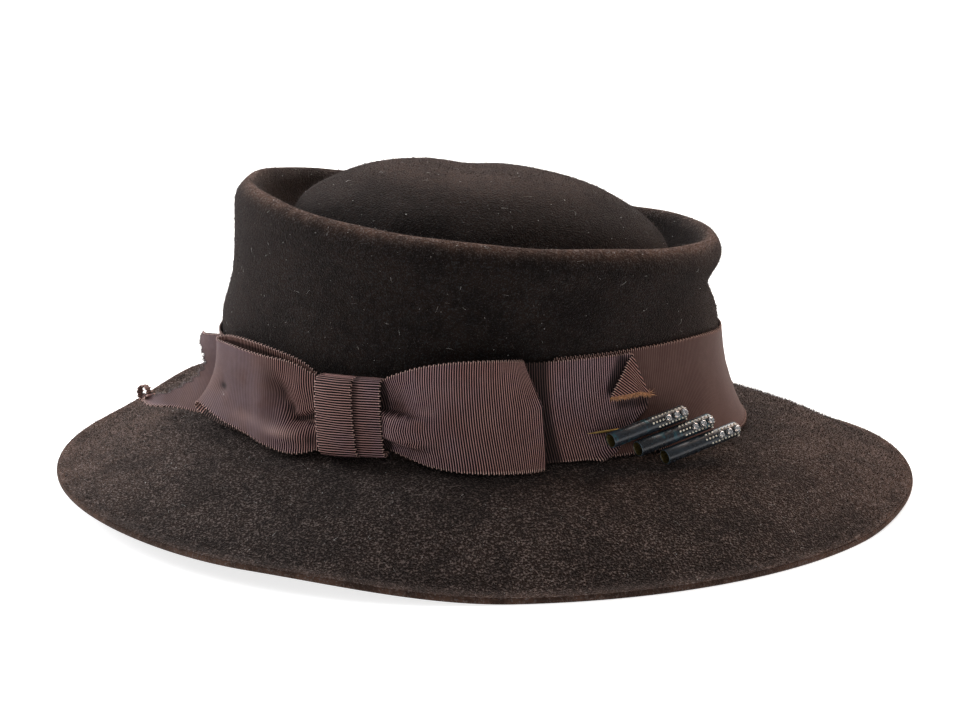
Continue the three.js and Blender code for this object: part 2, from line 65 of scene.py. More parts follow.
# half length, half width, centre, height, tilt, share of the edge's lift, share of the rim's rise
FELT_SECTIONS = [
    (BRIM_LENGTH, BRIM_WIDTH, 0, FELT_WALL, 0, 1, 0),
    (160.9, 142, 0, FELT_WALL, 0, 1, 0),
    (151.4, 132.4, 0, 7.5, 0, 0.8, 0),
    (134, 115, 0, 17, 0, 0.45, 0),
    (116, 97, 0, 24.5, -0.005, 0.15, 0),
    (104, 84.5, -1.5, 28.3, -0.015, 0, 0),
    (100.6, 81.2, -2, 31.5, -0.015, 0, 0),
    (96.5, 77.8, -4.3, 47, -0.018, 0, 0),
    (94.9, 74.9, -5, 64, -0.02, 0, 0),
    (93, 73, -3.4, 79, -0.05, 0, 0.2),
    (92.6, 72.6, -2.2, 90, -0.085, 0, 0.6),
    (93, 73, -1.1, RIM - 8, TILT, 0, 1),
    (91.4, 71.4, -1, RIM - 3, TILT, 0, 1),
    (87.5, 67.5, -0.8, RIM, TILT, 0, 1),
    (83.6, 63.6, -0.8, RIM - 3, TILT, 0, 1),
    (81.6, 61.6, -0.8, RIM - 9.5, TILT, 0, 0.8),
    (77.5, 57.5, -0.8, RIM - 17, TILT, 0, 0.4),
    (72.5, 52.5, -0.8, RIM - 9, TILT, 0, 0),
    (68, 48.5, -0.8, RIM - 2, TILT, 0, 0),
    (59, 42, -0.8, RIM + 5, TILT, 0, 0),
    (43, 31, -0.8, RIM + 12.3, TILT, 0, 0),
    (22, 16, -0.8, RIM + 15.8, TILT, 0, 0),
    (0, 0, -0.8, RIM + 16.4, TILT, 0, 0),
]
LAST_SECTION = len(FELT_SECTIONS) - 1
WALL_START, WALL_END = 4, 11

# centre, push along X and Z, spread along each axis
FELT_DENTS = [
    ((92, 0, 80), (-4.5, 0, 0), (30, 34, 8)),
    ((-97, 0, 70), (-1.2, 0, 0), (20, 40, 8)),
    ((-6, 4, 122), (0, 0, -2.2), (10, 30, 12)),
    ((52, 52, 100), (0, 0, -2.2), (36, 24, 14)),
    ((98, 0, 28), (0, 0, -4), (26, 48, 8)),
]


def smooth_step(value):
    """3t² - 2t³ of the value held between 0 and 1."""
    t = np.clip(value, 0, 1)
    return t * t * (3 - 2 * t)


def bell(value, spread):
    """A Gaussian: 1 at zero and 1/e at one spread from it."""
    return np.exp(-((value / spread) ** 2))


def smooth_rows(table, share):
    """Rows of a table at shares of its length, on the Catmull-Rom curve through every row."""
    table = np.asarray(table, float)
    last = len(table) - 1
    place = np.clip(share, 0, 1) * last
    index = np.minimum(place.astype(int), last - 1)
    t = (place - index)[..., None]
    a, b, c, d = (table[np.clip(index + offset, 0, last)] for offset in (-1, 0, 1, 2))
    return b + 0.5 * t * (c - a + t * (2 * a - 5 * b + 4 * c - d + t * (3 * (b - c) + d - a)))


def brim_lift(angle):
    """Height of the brim's edge round the hat: it lifts a little behind and more in front, sooner on the
    near side, and turns up further on the far side by a bell whose two halves differ."""
    forwards, far = -np.cos(angle), np.sin(angle) >= 0
    share, start, run = (np.where(far, *pair) for pair in zip(FAR_LIFT, NEAR_LIFT))
    last_rise = smooth_step((forwards - LAST_LIFT[0]) / LAST_LIFT[1])
    lift = FRONT_LIFT * (share * smooth_step((forwards - start) / run) + (1 - share) * last_rise)
    lift = lift + BACK_LIFT[0] * smooth_step((-forwards - BACK_LIFT[1]) / BACK_LIFT[2])
    past = np.degrees(np.arccos(np.clip(-forwards, -1, 1))) - TURN_UP_ANGLE
    turn_up = bell(past, np.where(past > 0, TURN_UP_SPREADS[1], TURN_UP_SPREADS[0]))
    return lift + far * FAR_TURN_UP * turn_up * smooth_step((forwards - FAR_LIFT[1]) / 0.3)


def felt_outside(share, angle):
    """The felt's outer side on a grid, from the brim's edge at share 0 to the dome's top at 1.
    Each section is an oval with x = x0 + length cos a and y = width sin a, at z = height + tilt x,
    raised by the lift of the edge and the rise of the rim in front, and pushed in by Gaussian dents."""
    length, width, x0, height, tilt, lift, rise = smooth_rows(FELT_SECTIONS, share).T[..., None]
    forwards = -np.cos(angle)
    edge_lift = brim_lift(angle)
    front_rise = RIM_FRONT_RISE * smooth_step((forwards - FRONT_RISE_START) / (1 - FRONT_RISE_START))
    x = x0 + length * np.cos(angle)
    y = width * np.sin(angle)
    z = np.maximum(height, FELT_WALL) + tilt * x + lift * edge_lift + rise * front_rise
    points = np.stack([x, y, z], axis=-1)
    push = np.zeros_like(points)
    for centre, depth, spread in FELT_DENTS:
        near = np.exp(-(((points - centre) / spread) ** 2).sum(axis=-1))
        push += near[..., None] * np.array(depth)
    return points + push


def unit(vectors):
    return vectors / np.maximum(np.linalg.norm(vectors, axis=-1, keepdims=True), 1e-9)


def ring_normals(rings):
    """Outward normals of a stack of closed rings: the step round a ring crossed with the step between two."""
    around = np.roll(rings, -1, axis=1) - np.roll(rings, 1, axis=1)
    return unit(np.cross(around, np.gradient(rings, axis=0)))


def ring_faces(rows, sides):
    """Quads between each ring and the next, as vertex numbers."""
    row, side = np.meshgrid(np.arange(rows - 1), np.arange(sides), indexing="ij")
    here, beside = row * sides + side, row * sides + (side + 1) % sides
    return np.stack([here, beside, beside + sides, here + sides], axis=-1).reshape(-1, 4)


def make_piece(name, points, faces, material, slot, **attributes):
    """A smooth mesh at the origin from points in millimetres, with float attributes on its points."""
    mesh = bpy.data.meshes.new(name)
    mesh.from_pydata((points * MM).tolist(), [], [face.tolist() for group in faces for face in group])
    mesh.polygons.foreach_set("use_smooth", np.ones(len(mesh.polygons), bool))
    for label, values in attributes.items():
        layer = mesh.attributes.new(label, "FLOAT", "POINT")
        layer.data.foreach_set("value", np.asarray(values, np.float32).ravel())
    mesh.materials.append(material)
    piece = bpy.data.objects.new(name, mesh)
    bpy.context.scene.collection.objects.link(piece)
    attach(piece, "root")
    return piece


def add_node(tree, kind, inputs, **settings):
    """A shader node with its settings. An input is a value, or another node's output to link."""
    node = tree.nodes.new("ShaderNode" + kind)
    for label, value in settings.items():
        setattr(node, label, value)
    for socket, value in inputs.items():
        if isinstance(value, bpy.types.NodeSocket):
            tree.links.new(value, node.inputs[socket])
        else:
            node.inputs[socket].default_value = value
    return node


def add_math(tree, operation, *values):
    return add_node(tree, "Math", dict(enumerate(values)), operation=operation).outputs[0]


def add_range(tree, value, start, end, low, high):
    """The value carried from start..end to low..high, held at both ends and eased between."""
    limits = {"Value": value, "From Min": start, "From Max": end, "To Min": low, "To Max": high}
    return add_node(tree, "MapRange", limits, interpolation_type="SMOOTHSTEP").outputs["Result"]


def add_noise(tree, scale, detail, roughness=0.5):
    """Noise at a scale on the piece's own coordinates."""
    place = add_node(tree, "TexCoord", {}).outputs["Object"]
    inputs = {"Vector": place, "Scale": scale, "Detail": detail, "Roughness": roughness}
    return add_node(tree, "TexNoise", inputs).outputs[0]


def read_attribute(tree, label):
    return add_node(tree, "Attribute", {}, attribute_name=label).outputs["Fac"]


def mix_values(tree, share, first, second):
    return add_node(tree, "Mix", {0: share, 2: first, 3: second}, data_type="FLOAT").outputs[0]


def mix_colour(tree, share, first, second, blend="MIX"):
    """Two colours mixed by a share. A colour is three numbers or another node's output."""
    colours = {0: share}
    for socket, colour in ((6, first), (7, second)):
        linked = isinstance(colour, bpy.types.NodeSocket)
        colours[socket] = colour if linked else (*colour, 1)
    return add_node(tree, "Mix", colours, data_type="RGBA", blend_type=blend).outputs[2]


def new_material(name, **constants):
    """An empty material with its Principled shader, and constants set on the shader's own sockets."""
    material = bpy.data.materials.new(name)
    material.use_nodes = True
    shader = material.node_tree.nodes["Principled BSDF"]
    for label, value in constants.items():
        shader.inputs[label.replace("_", " ").title().replace("Ior", "IOR")].default_value = value
    return material, material.node_tree, shader


# Mottle, shared by felt and ribbon: soft patches at one scale, broken by finer ones.
mottle_group = bpy.data.node_groups.new("mottle", "ShaderNodeTree")
for label, default in (("Scale", 40.0), ("Fine Share", 0.4)):
    socket = mottle_group.interface.new_socket(label, in_out="INPUT", socket_type="NodeSocketFloat")
    socket.default_value = default
mottle_group.interface.new_socket("Patches", in_out="OUTPUT", socket_type="NodeSocketFloat")
mottle_in = mottle_group.nodes.new("NodeGroupInput")
mottle_out = mottle_group.nodes.new("NodeGroupOutput")
broad_scale, fine_share = mottle_in.outputs["Scale"], mottle_in.outputs["Fine Share"]
broad = add_noise(mottle_group, broad_scale, 3.0)
finer = add_noise(mottle_group, add_math(mottle_group, "MULTIPLY", broad_scale, 6.3), 2.0)
mixed = mix_values(mottle_group, fine_share, broad, finer)
patches = add_range(mottle_group, mixed, 0.36, 0.64, 0.0, 1.0)
mottle_group.links.new(patches, mottle_out.inputs["Patches"])


def add_mottle(tree, scale, fine_share):
    node = tree.nodes.new("ShaderNodeGroup")
    node.node_tree = mottle_group
    node.inputs["Scale"].default_value = scale
    node.inputs["Fine Share"].default_value = fine_share
    return node.outputs["Patches"]


FELT_DARK = (0.0022, 0.0023, 0.0026)
FELT_BROWN = (0.0068, 0.0050, 0.0044)
FELT_WORN_AND_LIT = (0.0760, 0.0430, 0.0310)
NAP_CROWN = (0.0280, 0.0285, 0.0300)
NAP_BRIM_LIT = (0.1650, 0.1300, 0.1190)

felt_material, felt_tree, felt_shader = new_material(
    "velour_felt", roughness=0.95, specular_ior_level=0.08, sheen_weight=0.28, sheen_roughness=0.36,
    sheen_tint=(0.38, 0.30, 0.28, 1),
)
# The wear attribute pales the felt towards a worn brown on the rim's crest, the cut edge, the dome and the
# brim's front and back: partly real wear, partly a painted highlight where those parts catch the light.
felt_wear, brushed = (read_attribute(felt_tree, label) for label in ("wear", "brushed"))
felt_patches = add_mottle(felt_tree, 55.0, 0.45)
felt_colour = mix_colour(felt_tree, felt_patches, FELT_DARK, FELT_BROWN)
wear_and_highlight_patches = add_range(felt_tree, felt_patches, 0.0, 1.0, 0.45, 1.0)
wear_and_highlight_share = add_math(felt_tree, "MULTIPLY", felt_wear, wear_and_highlight_patches)
felt_colour = mix_colour(felt_tree, wear_and_highlight_share, felt_colour, FELT_WORN_AND_LIT)
fine_nap, long_nap = (add_noise(felt_tree, scale, 3.0, 0.6) for scale in (1700.0, 1250.0))
nap = mix_values(felt_tree, brushed, fine_nap, long_nap)
tuft_share = add_range(felt_tree, nap, 0.50, 0.65, 0.0, 1.0)
tuft_patches = add_range(felt_tree, felt_patches, 0.0, 1.0, 0.55, 1.25)
tuft_share = add_math(felt_tree, "MULTIPLY", tuft_share, tuft_patches)
# The brushed attribute picks the long nap and mixes its tufts towards the paler, warmer brim colour: a
# painted sheen on the brim and the rim's crest over the same felt.
tuft_colour = mix_colour(felt_tree, brushed, NAP_CROWN, NAP_BRIM_LIT)
felt_colour = mix_colour(felt_tree, tuft_share, felt_colour, tuft_colour)
felt_tree.links.new(felt_colour, felt_shader.inputs["Base Color"])
felt_bump = add_node(felt_tree, "Bump", {"Strength": 1.0, "Distance": 0.0014, "Height": nap})
felt_tree.links.new(felt_bump.outputs[0], felt_shader.inputs["Normal"])

felt_angle = np.arange(FELT_SIDES) * 2 * np.pi / FELT_SIDES
felt_share = np.linspace(0, 1, LAST_SECTION * ROWS_A_SECTION + 1)[:-1]
outer = felt_outside(felt_share, felt_angle)
outer_normals = ring_normals(outer)
inner_share = np.linspace(0, 1, LAST_SECTION * 2 + 1)[:-1]
inner = felt_outside(inner_share, felt_angle)
inner = inner - FELT_WALL * ring_normals(inner)
land_rows = inner_share <= 1 / LAST_SECTION
inner[land_rows] = felt_outside(inner_share[land_rows], felt_angle) - (0, 0, FELT_WALL)

# Soft waves of the steamed felt, still where the ribbon and the table hold it.
wave_window = smooth_step((felt_share - 0.06) / 0.08) * smooth_step((0.92 - felt_share) / 0.1)
wave_window *= 1 - 0.9 * bell(felt_share - 0.31, 0.075)
share_grid, angle_grid = felt_share[:, None], felt_angle[None, :]
waves = 0.28 * np.sin(5 * angle_grid + 21 * share_grid)
waves = waves + 0.2 * np.sin(11 * angle_grid - 33 * share_grid + 1.3)
ridge_place = bell(share_grid - 1.35 / LAST_SECTION, 0.006)
pressed_ridge = 0.3 * ridge_place * np.abs(np.cos(angle_grid)) ** 3
outer = outer + outer_normals * (wave_window[:, None] * waves + pressed_ridge)[..., None]

# The cut edge is a half oval between the upper and the lower side.
turn = np.linspace(-np.pi / 2, np.pi / 2, 7)[1:-1]
outwards = unit(np.stack([np.cos(felt_angle), np.sin(felt_angle), 0 * felt_angle], axis=-1))
outer[0] -= EDGE_ROUND * outwards
inner[0] -= EDGE_ROUND * outwards
edge_middle = (outer[0] + inner[0]) / 2
edge_rows = edge_middle + EDGE_ROUND * np.cos(turn)[:, None, None] * outwards
edge_rows[..., 2] += FELT_WALL / 2 * np.sin(turn)[:, None]

felt_rings = np.concatenate([inner[::-1], edge_rows, outer])
dome_top = felt_outside(np.array([1.0]), np.array([0.0]))[0, 0]
felt_points = np.concatenate([felt_rings.reshape(-1, 3), [dome_top - (0, 0, FELT_WALL), dome_top]])
felt_faces = ring_faces(len(felt_rings), FELT_SIDES)
side = np.arange(FELT_SIDES)
beside = (side + 1) % FELT_SIDES
last_ring = (len(felt_rings) - 1) * FELT_SIDES
under_top, over_top = len(felt_points) - 2, len(felt_points) - 1
under_cap = np.stack([np.full(FELT_SIDES, under_top), beside, side], axis=-1)
over_cap = np.stack([last_ring + side, last_ring + beside, np.full(FELT_SIDES, over_top)], axis=-1)


def wear_and_highlight_places(share):
    """Wear of the nap along the profile, partly real and partly a painted highlight: most on the rim's crest
    and the cut edge, some on the dome.
    """
    place = share * LAST_SECTION
    edge = 0.75 * bell(place, 0.5)
    rim = 0.95 * bell(place - 12.7, 0.55)
    dome = 0.35 * smooth_step((place - 19) / 2)
    return 0.12 + edge + rim + dome


def brushed_places(share):
    """Length of the nap along the profile, whose paler tufts are also a painted sheen: long on the brim and
    on the rim's crest, short elsewhere.
    """
    place = share * LAST_SECTION
    return 1 - smooth_step((place - 4.8) / 1.6) + bell(place - 12.9, 0.9)


def along_profile(places, at_edge, at_ends=0.0):
    """A value for every felt point from a function of the profile's share, with the cut edge's own value.
    Over the brim it grows by at_ends cos^4 towards the hat's front and back."""
    shares = np.concatenate([inner_share[::-1], np.zeros(len(edge_rows)), felt_share])
    rows = np.concatenate([places(inner_share)[::-1], np.full(len(edge_rows), at_edge), places(felt_share)])
    on_brim = 1 - smooth_step((shares * LAST_SECTION - 3) / 1.5)
    grid = rows[:, None] + at_ends * on_brim[:, None] * np.cos(felt_angle) ** 4
    return np.append(grid.ravel(), [rows[0], rows[-1]])


felt = make_piece(
    "felt_hood", felt_points, [felt_faces, under_cap, over_cap], felt_material, "felt",
    wear=along_profile(wear_and_highlight_places, 0.9, 0.45), brushed=along_profile(brushed_places, 0.6),
)
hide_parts("felt_body")


# Nap of the felt
# The brushed fibre that stands on the velour: short hairs that lean every way and catch the light. They
# also make the outline of crown and brim a little soft.
NAP_HAIRS = {"nap_brim": (0.0, 0.235, 35000, 0.13), "nap_crown": (0.33, 1.0, 24000, 0.095)}
random = np.random.default_rng(7)


def scatter(count, low_share=0.0, high_share=1.0):
    """Random places on the felt's outer side, even by area between two shares, with the normal at each
    and a direction along the felt."""
    first, last = (round(share * (len(outer) - 2)) for share in (low_share, high_share))
    block = outer[first:last + 1]
    beside = np.roll(block, -1, axis=1)
    area = np.linalg.norm(np.cross(beside - block, np.gradient(block, axis=0)), axis=-1)[:-1].ravel()
    cell = random.choice(len(area), count, p=area / area.sum())
    row, side = cell // FELT_SIDES, cell % FELT_SIDES
    up, round_ = random.random((2, count, 1))
    lower = block[row, side] * (1 - round_) + beside[row, side] * round_
    upper = block[row + 1, side] * (1 - round_) + beside[row + 1, side] * round_
    normal = outer_normals[first + row, side]
    lying = unit(np.cross(normal, random.normal(size=(count, 3))))
    return lower * (1 - up) + upper * up, normal, lying


def leaning_hairs(roots, normal, lying, length, radius):
    """Hairs as slim three-sided spikes: three points round each root and a tip that leans."""
    side = np.cross(normal, lying)
    angle = np.arange(3) * 2 * np.pi / 3
    foot = roots[:, None] + radius * (
        lying[:, None] * np.cos(angle)[:, None] + side[:, None] * np.sin(angle)[:, None]
    )
    lean = random.uniform(0.3, 1.3, (len(roots), 1))
    tip = roots + length[:, None] * unit(normal + lean * lying)
    points = np.concatenate([foot, tip[:, None]], axis=1).reshape(-1, 3)
    offsets = 4 * np.arange(len(roots))[:, None, None]
    faces = np.array([(0, 1, 3), (1, 2, 3), (2, 0, 3), (2, 1, 0)]) + offsets
    return points, [faces.reshape(-1, 3)]


def mottled_material(name, scale, fine_share, first, second, roughness_range=None, **constants):
    """A material whose colour, and roughness where it has a range, go between two values by one mottle."""
    material, tree, shader = new_material(name, **constants)
    patches = add_mottle(tree, scale, fine_share)
    tree.links.new(mix_colour(tree, patches, first, second), shader.inputs["Base Color"])
    if roughness_range:
        tree.links.new(add_range(tree, patches, 0.0, 1.0, *roughness_range), shader.inputs["Roughness"])
    return material


nap_material = mottled_material(
    "brushed_nap", 700.0, 0.6, (0.006, 0.005, 0.005), (0.110, 0.086, 0.078),
    roughness=0.8, specular_ior_level=0.2,
)
for name, (low_share, high_share, count, radius) in NAP_HAIRS.items():
    roots, normal, lying = scatter(count, low_share, high_share)
    points, faces = leaning_hairs(roots, normal, lying, random.uniform(5, 14, count) * radius, radius)
    make_piece(name, points, faces, nap_material, "felt")


# Hat band
# One turn of grosgrain ribbon sewn round the crown's foot, drawn together where the bow is tied over it.
# Its ribs run across it, and its two selvedges are scalloped where the weft turns round every second rib.
RIB_PITCH = 0.89
RIB_HEIGHT = 0.19
RIBBON_THICK = 0.55
SCALLOP = 0.42
STEPS_A_RIB, STEPS_A_BAND_RIB = 5, 4
BAND_STANDOFF = 1.2
BAND_JOIN = -88.0
BAND_UNDER_END = -72.0 - 360.0

# angle round the crown, foot, top, spread of the foot over the brim
BAND_EDGES = np.array([
    (-45, 29.4, 64.6, 0),
    (-60, 29.4, 64.9, 0),
    (-75, 29.6, 64.6, 0),
    (-90, 29.8, 63.4, 0),
    (-102, 32.4, 60, 0),
    (-115, 35.5, 54.4, 0),
    (-128, 33, 59, 0),
    (-142, 31, 62.2, 0),
    (-165, 31.5, 61.8, 0),
    (-195, 31.5, 61.2, 0),
    (-240, 30.7, 60.8, 0.4),
    (-270, 30, 60.4, 1),
    (-300, 29, 60.2, 1.2),
    (-345, 25.8, 60.4, 1.5),
    (-372, 25.6, 62.4, 1.6),
    (-390, 27.4, 64.8, 1),
    (-410, 29, 65.6, 0.3),
    (-435, 29.4, 65.4, 0),
])


def beside_crown(angle, height, standoff):
    """Points beside the crown at angles in degrees, heights and horizontal distances from the felt.
    The wall is read between its rows at each angle, and the distance goes along the oval's normal."""
    angle, height, standoff = np.broadcast_arrays(angle, height, standoff)
    turn = np.radians(angle.ravel())
    share = np.linspace(WALL_START, WALL_END, (WALL_END - WALL_START) * ROWS_A_SECTION + 1) / LAST_SECTION
    wall = felt_outside(share, turn)
    row = np.clip((wall[..., 2] < height.ravel()).sum(axis=0) - 1, 0, len(share) - 2)
    column = np.arange(len(turn))
    low, high = wall[row, column], wall[row + 1, column]
    part = (height.ravel() - low[:, 2]) / (high[:, 2] - low[:, 2])
    point = low + part[:, None] * (high - low)
    length, width = smooth_rows(FELT_SECTIONS, share)[row, :2].T
    normal = unit(np.stack([np.cos(turn) / length, np.sin(turn) / width, 0 * turn], axis=-1))
    return (point + standoff.ravel()[:, None] * normal).reshape(*angle.shape, 3)


def band_point(angle, across, rise=0.0):
    """Points of the band between its foot and its top, with the foot spread by (1 - across)^10."""
    place = np.interp(-angle, -BAND_EDGES[:, 0], np.arange(len(BAND_EDGES))) / (len(BAND_EDGES) - 1)
    _, foot, top, spread = np.moveaxis(smooth_rows(BAND_EDGES, place), -1, 0)
    standoff = BAND_STANDOFF + 0.8 * spread * np.maximum(1 - across, 0) ** 10 + rise
    return beside_crown(angle, foot + across * (top - foot), standoff)


def even_run(line, step):
    """Shares along a curve at even distances, and the distances. line gives its points."""
    share = np.linspace(0, 1, 1500)
    distance = np.append(0, np.cumsum(np.linalg.norm(np.diff(line(share), axis=0), axis=1)))
    run = np.linspace(0, distance[-1], round(distance[-1] / step) + 1)
    return np.interp(run, distance, share), run


def ribbon_rows(rows):
    """Shares across a ribbon, closer together at the two selvedges."""
    return np.concatenate([[0, 0.012, 0.03], np.linspace(0.06, 0.94, rows), [0.97, 0.988, 1]])


def ribbon_piece(
    name, node, centre, run, across, facing=1, shade=0.0, rib_height=RIB_HEIGHT, scallop=(1, 1), evened=0.0
):
    """A closed ribbon round a grid of points, columns along it and rows across it.
    Both sides stand off by half the thickness plus round cords |cos|, one a rib, and the outer rows move
    outwards by a cosine of half that frequency, which makes the scalloped selvedge. facing tells which
    side is the right one, shade darkens or pales places of it from -1 to 1, and evened hides the ribs
    between the selvedges."""
    columns, rows = centre.shape[:2]
    run, across, shade, evened = (
        np.broadcast_to(values, (columns, rows)) for values in (run, across, shade, evened)
    )
    evened = evened * (np.minimum(across, 1 - across) > 0.02)
    along, sideways = np.gradient(centre, axis=0), unit(np.gradient(centre, axis=1))
    normal = unit(np.cross(along, sideways))
    scallops = SCALLOP * (0.5 + 0.5 * np.cos(np.pi * run / RIB_PITCH))
    centre = centre.copy()
    centre[:, 0] -= sideways[:, 0] * (scallop[0] * scallops[:, 0])[:, None]
    centre[:, -1] += sideways[:, -1] * (scallop[1] * scallops[:, -1])[:, None]
    cord = np.abs(np.cos(np.pi * run / RIB_PITCH))
    half = RIBBON_THICK / 2 + rib_height * (1 - 0.9 * evened) * (2 * cord - 1)
    half[:, [0, -1]] *= 0.6
    sides = [(centre + sign * normal * half[..., None]).reshape(-1, 3) for sign in (1, -1)]
    front = np.arange(columns * rows).reshape(columns, rows)
    back = front + columns * rows
    quads = [
        (front[:-1, :-1], front[1:, :-1], front[1:, 1:], front[:-1, 1:]),
        (back[:-1, :-1], back[:-1, 1:], back[1:, 1:], back[1:, :-1]),
        (front[:-1, 0], back[:-1, 0], back[1:, 0], front[1:, 0]),
        (front[1:, -1], back[1:, -1], back[:-1, -1], front[:-1, -1]),
        (front[0, 1:], back[0, 1:], back[0, :-1], front[0, :-1]),
        (front[-1, :-1], back[-1, :-1], back[-1, 1:], front[-1, 1:]),
    ]
    faces = np.concatenate([np.stack(quad, axis=-1).reshape(-1, 4) for quad in quads])
    reverse = np.repeat([0, 1] if facing > 0 else [1, 0], columns * rows)
    marks = {"rib": run / RIB_PITCH, "across": across, "shade": shade, "evened": evened}
    marks = {label: np.tile(values.ravel(), 2) for label, values in marks.items()}
    piece = make_piece(
        name, np.concatenate(sides), [faces], ribbon_material, "ribbon", reverse=reverse, **marks
    )
    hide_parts(node)
    return piece


RIB_CREST = (0.600, 0.385, 0.415)
RIB_VALLEY = (0.003, 0.0013, 0.0013)
RIB_REVERSE = (0.640, 0.345, 0.290)
SELVEDGE = (0.750, 0.500, 0.430)
CREST_POWER, EVENED_CREST = 14.0, 0.165

# Grosgrain by its attributes: rib counts ribs along the ribbon, and across goes from edge to edge. The colour
# is pale on the crest of each rib and nearly black between ribs, a painted highlight and painted shade over
# the ribs' relief; it is palest at the selvedges, and less faded on the reverse.
ribbon_material, ribbon_tree, ribbon_shader = new_material(
    "grosgrain", roughness=0.6, specular_ior_level=0.12, sheen_weight=0.04, sheen_roughness=0.4,
    sheen_tint=(0.75, 0.55, 0.52, 1),
)
rib, across, shade, reverse, evened = (
    read_attribute(ribbon_tree, label) for label in ("rib", "across", "shade", "reverse", "evened")
)
cord = add_math(ribbon_tree, "COSINE", add_math(ribbon_tree, "MULTIPLY", rib, math.pi))
crest_share = add_math(ribbon_tree, "POWER", add_math(ribbon_tree, "ABSOLUTE", cord), CREST_POWER)
crest_share = mix_values(ribbon_tree, evened, crest_share, EVENED_CREST)
redder = add_range(ribbon_tree, add_mottle(ribbon_tree, 26.0, 0.2), 0.0, 1.0, 0.0, 0.75)
redder = add_math(ribbon_tree, "MAXIMUM", reverse, redder)
crest_colour = mix_colour(ribbon_tree, redder, RIB_CREST, RIB_REVERSE)
ribbon_colour = mix_colour(ribbon_tree, crest_share, RIB_VALLEY, crest_colour)
fading = add_range(ribbon_tree, add_mottle(ribbon_tree, 70.0, 0.35), 0.0, 1.0, 0.0, 0.30)
ribbon_colour = mix_colour(ribbon_tree, fading, ribbon_colour, (0.60, 0.48, 0.50), "MULTIPLY")
from_edge = add_math(ribbon_tree, "MINIMUM", across, add_math(ribbon_tree, "SUBTRACT", 1.0, across))
edge_share = add_range(ribbon_tree, from_edge, 0.004, 0.016, 1.0, 0.0)
edge_share = add_math(ribbon_tree, "MULTIPLY", edge_share, crest_share)
ribbon_colour = mix_colour(ribbon_tree, edge_share, ribbon_colour, SELVEDGE)
# The shade attribute pales towards the selvedge colour and darkens towards the valley colour; on the lap, the
# loops, the knot and the tail it carries painted shade and painted highlight.
pale_share = add_range(ribbon_tree, shade, 0.0, 1.0, 0.0, 0.7)
ribbon_colour = mix_colour(ribbon_tree, pale_share, ribbon_colour, SELVEDGE)
dark_share = add_range(ribbon_tree, shade, -1.0, 0.0, 0.85, 0.0)
ribbon_colour = mix_colour(ribbon_tree, dark_share, ribbon_colour, RIB_VALLEY)
ribbon_tree.links.new(ribbon_colour, ribbon_shader.inputs["Base Color"])
weft = add_math(ribbon_tree, "SINE", add_math(ribbon_tree, "MULTIPLY", across, 2 * math.pi * 110))
weave = add_math(ribbon_tree, "MULTIPLY_ADD", weft, 0.3, add_noise(ribbon_tree, 2600.0, 2.0))
ribbon_bump = add_node(ribbon_tree, "Bump", {"Strength": 0.35, "Distance": 0.0001, "Height": weave})
ribbon_tree.links.new(ribbon_bump.outputs[0], ribbon_shader.inputs["Normal"])


def band_line(share):
    return band_point(BAND_JOIN + share * (BAND_UNDER_END - BAND_JOIN), 0.5)


band_share, band_run = even_run(band_line, RIB_PITCH / STEPS_A_BAND_RIB)
band_across = ribbon_rows(6)
band_angle = BAND_JOIN + band_share[:, None] * (BAND_UNDER_END - BAND_JOIN)
band_centre = band_point(band_angle, band_across)
band = ribbon_piece(
    "ribbon_band", "hat_band", band_centre, band_run[:, None], band_across,
    shade=-0.36, rib_height=0.10, evened=0.8,
)


# Lapped end of the band
# The band's free end lies over its beginning. It was cut on a slant, and its upper corner has turned over
# to show the reverse, with the raw edge frayed. The lower corner of the raw end has begun to curl.
LAP_RISE = 1.45
LAP_STEP = (-84.0, 9.0)
LAP_REFERENCE = -53.9
LAP_FOOT, LAP_TOP = 29.4, 64.8
FOLD_TOP = np.array([0.0, 64.3])
FOLD_NORMAL = unit(np.array([0.933, 0.36]))
FOLD_RADIUS = 0.7
FOLD_OPENING = 0.10
LAP_TIP = 19.0
FLAP_TURN = 0.157
LAP_ROWS = 34

# distance from the fold's top along the band and height of the slanted cut
LAP_CUT = np.array([
    (-18.6, 29.3), (-12.4, 31.9), (-7, 36), (-2.1, 40.4),
    (4.6, 44.4), (6.1, 48.9), (12.7, 56.8), (19.3, 64.8),
])


def lap_line(share):
    return band_point(BAND_JOIN + 0.05 + share * (LAP_REFERENCE + 14 - BAND_JOIN), 0.5, LAP_RISE)


lap_share, lap_run = even_run(lap_line, RIB_PITCH / STEPS_A_RIB)
lap_angle = BAND_JOIN + 0.05 + lap_share * (LAP_REFERENCE + 14 - BAND_JOIN)
lap_place = lap_run - np.interp(LAP_REFERENCE, lap_angle, lap_run)
kept = lap_place < LAP_TIP
lap_run, lap_angle, lap_place = lap_run[kept], lap_angle[kept], lap_place[kept]
lap_low = np.interp(lap_place, *LAP_CUT.T)[:, None]
lap_height = lap_low + ribbon_rows(LAP_ROWS) * (LAP_TOP - lap_low)
flat_place = np.stack(np.broadcast_arrays(lap_place[:, None], lap_height), axis=-1)
past_fold = np.maximum((flat_place - FOLD_TOP) @ FOLD_NORMAL, 0)
bend = np.minimum(past_fold / FOLD_RADIUS, np.pi)
beyond = np.maximum(past_fold - np.pi * FOLD_RADIUS, 0)
moved = FOLD_RADIUS * np.sin(bend) - beyond - past_fold
folded = flat_place + moved[..., None] * FOLD_NORMAL - FOLD_TOP
flap_turn = FLAP_TURN * smooth_step(beyond / 6)
turn_cos, turn_sin = np.cos(flap_turn), np.sin(flap_turn)
folded = FOLD_TOP + np.stack([
    turn_cos * folded[..., 0] - turn_sin * folded[..., 1],
    turn_sin * folded[..., 0] + turn_cos * folded[..., 1],
], axis=-1)
fold_lift = FOLD_RADIUS * (1 - np.cos(bend)) + FOLD_OPENING * beyond
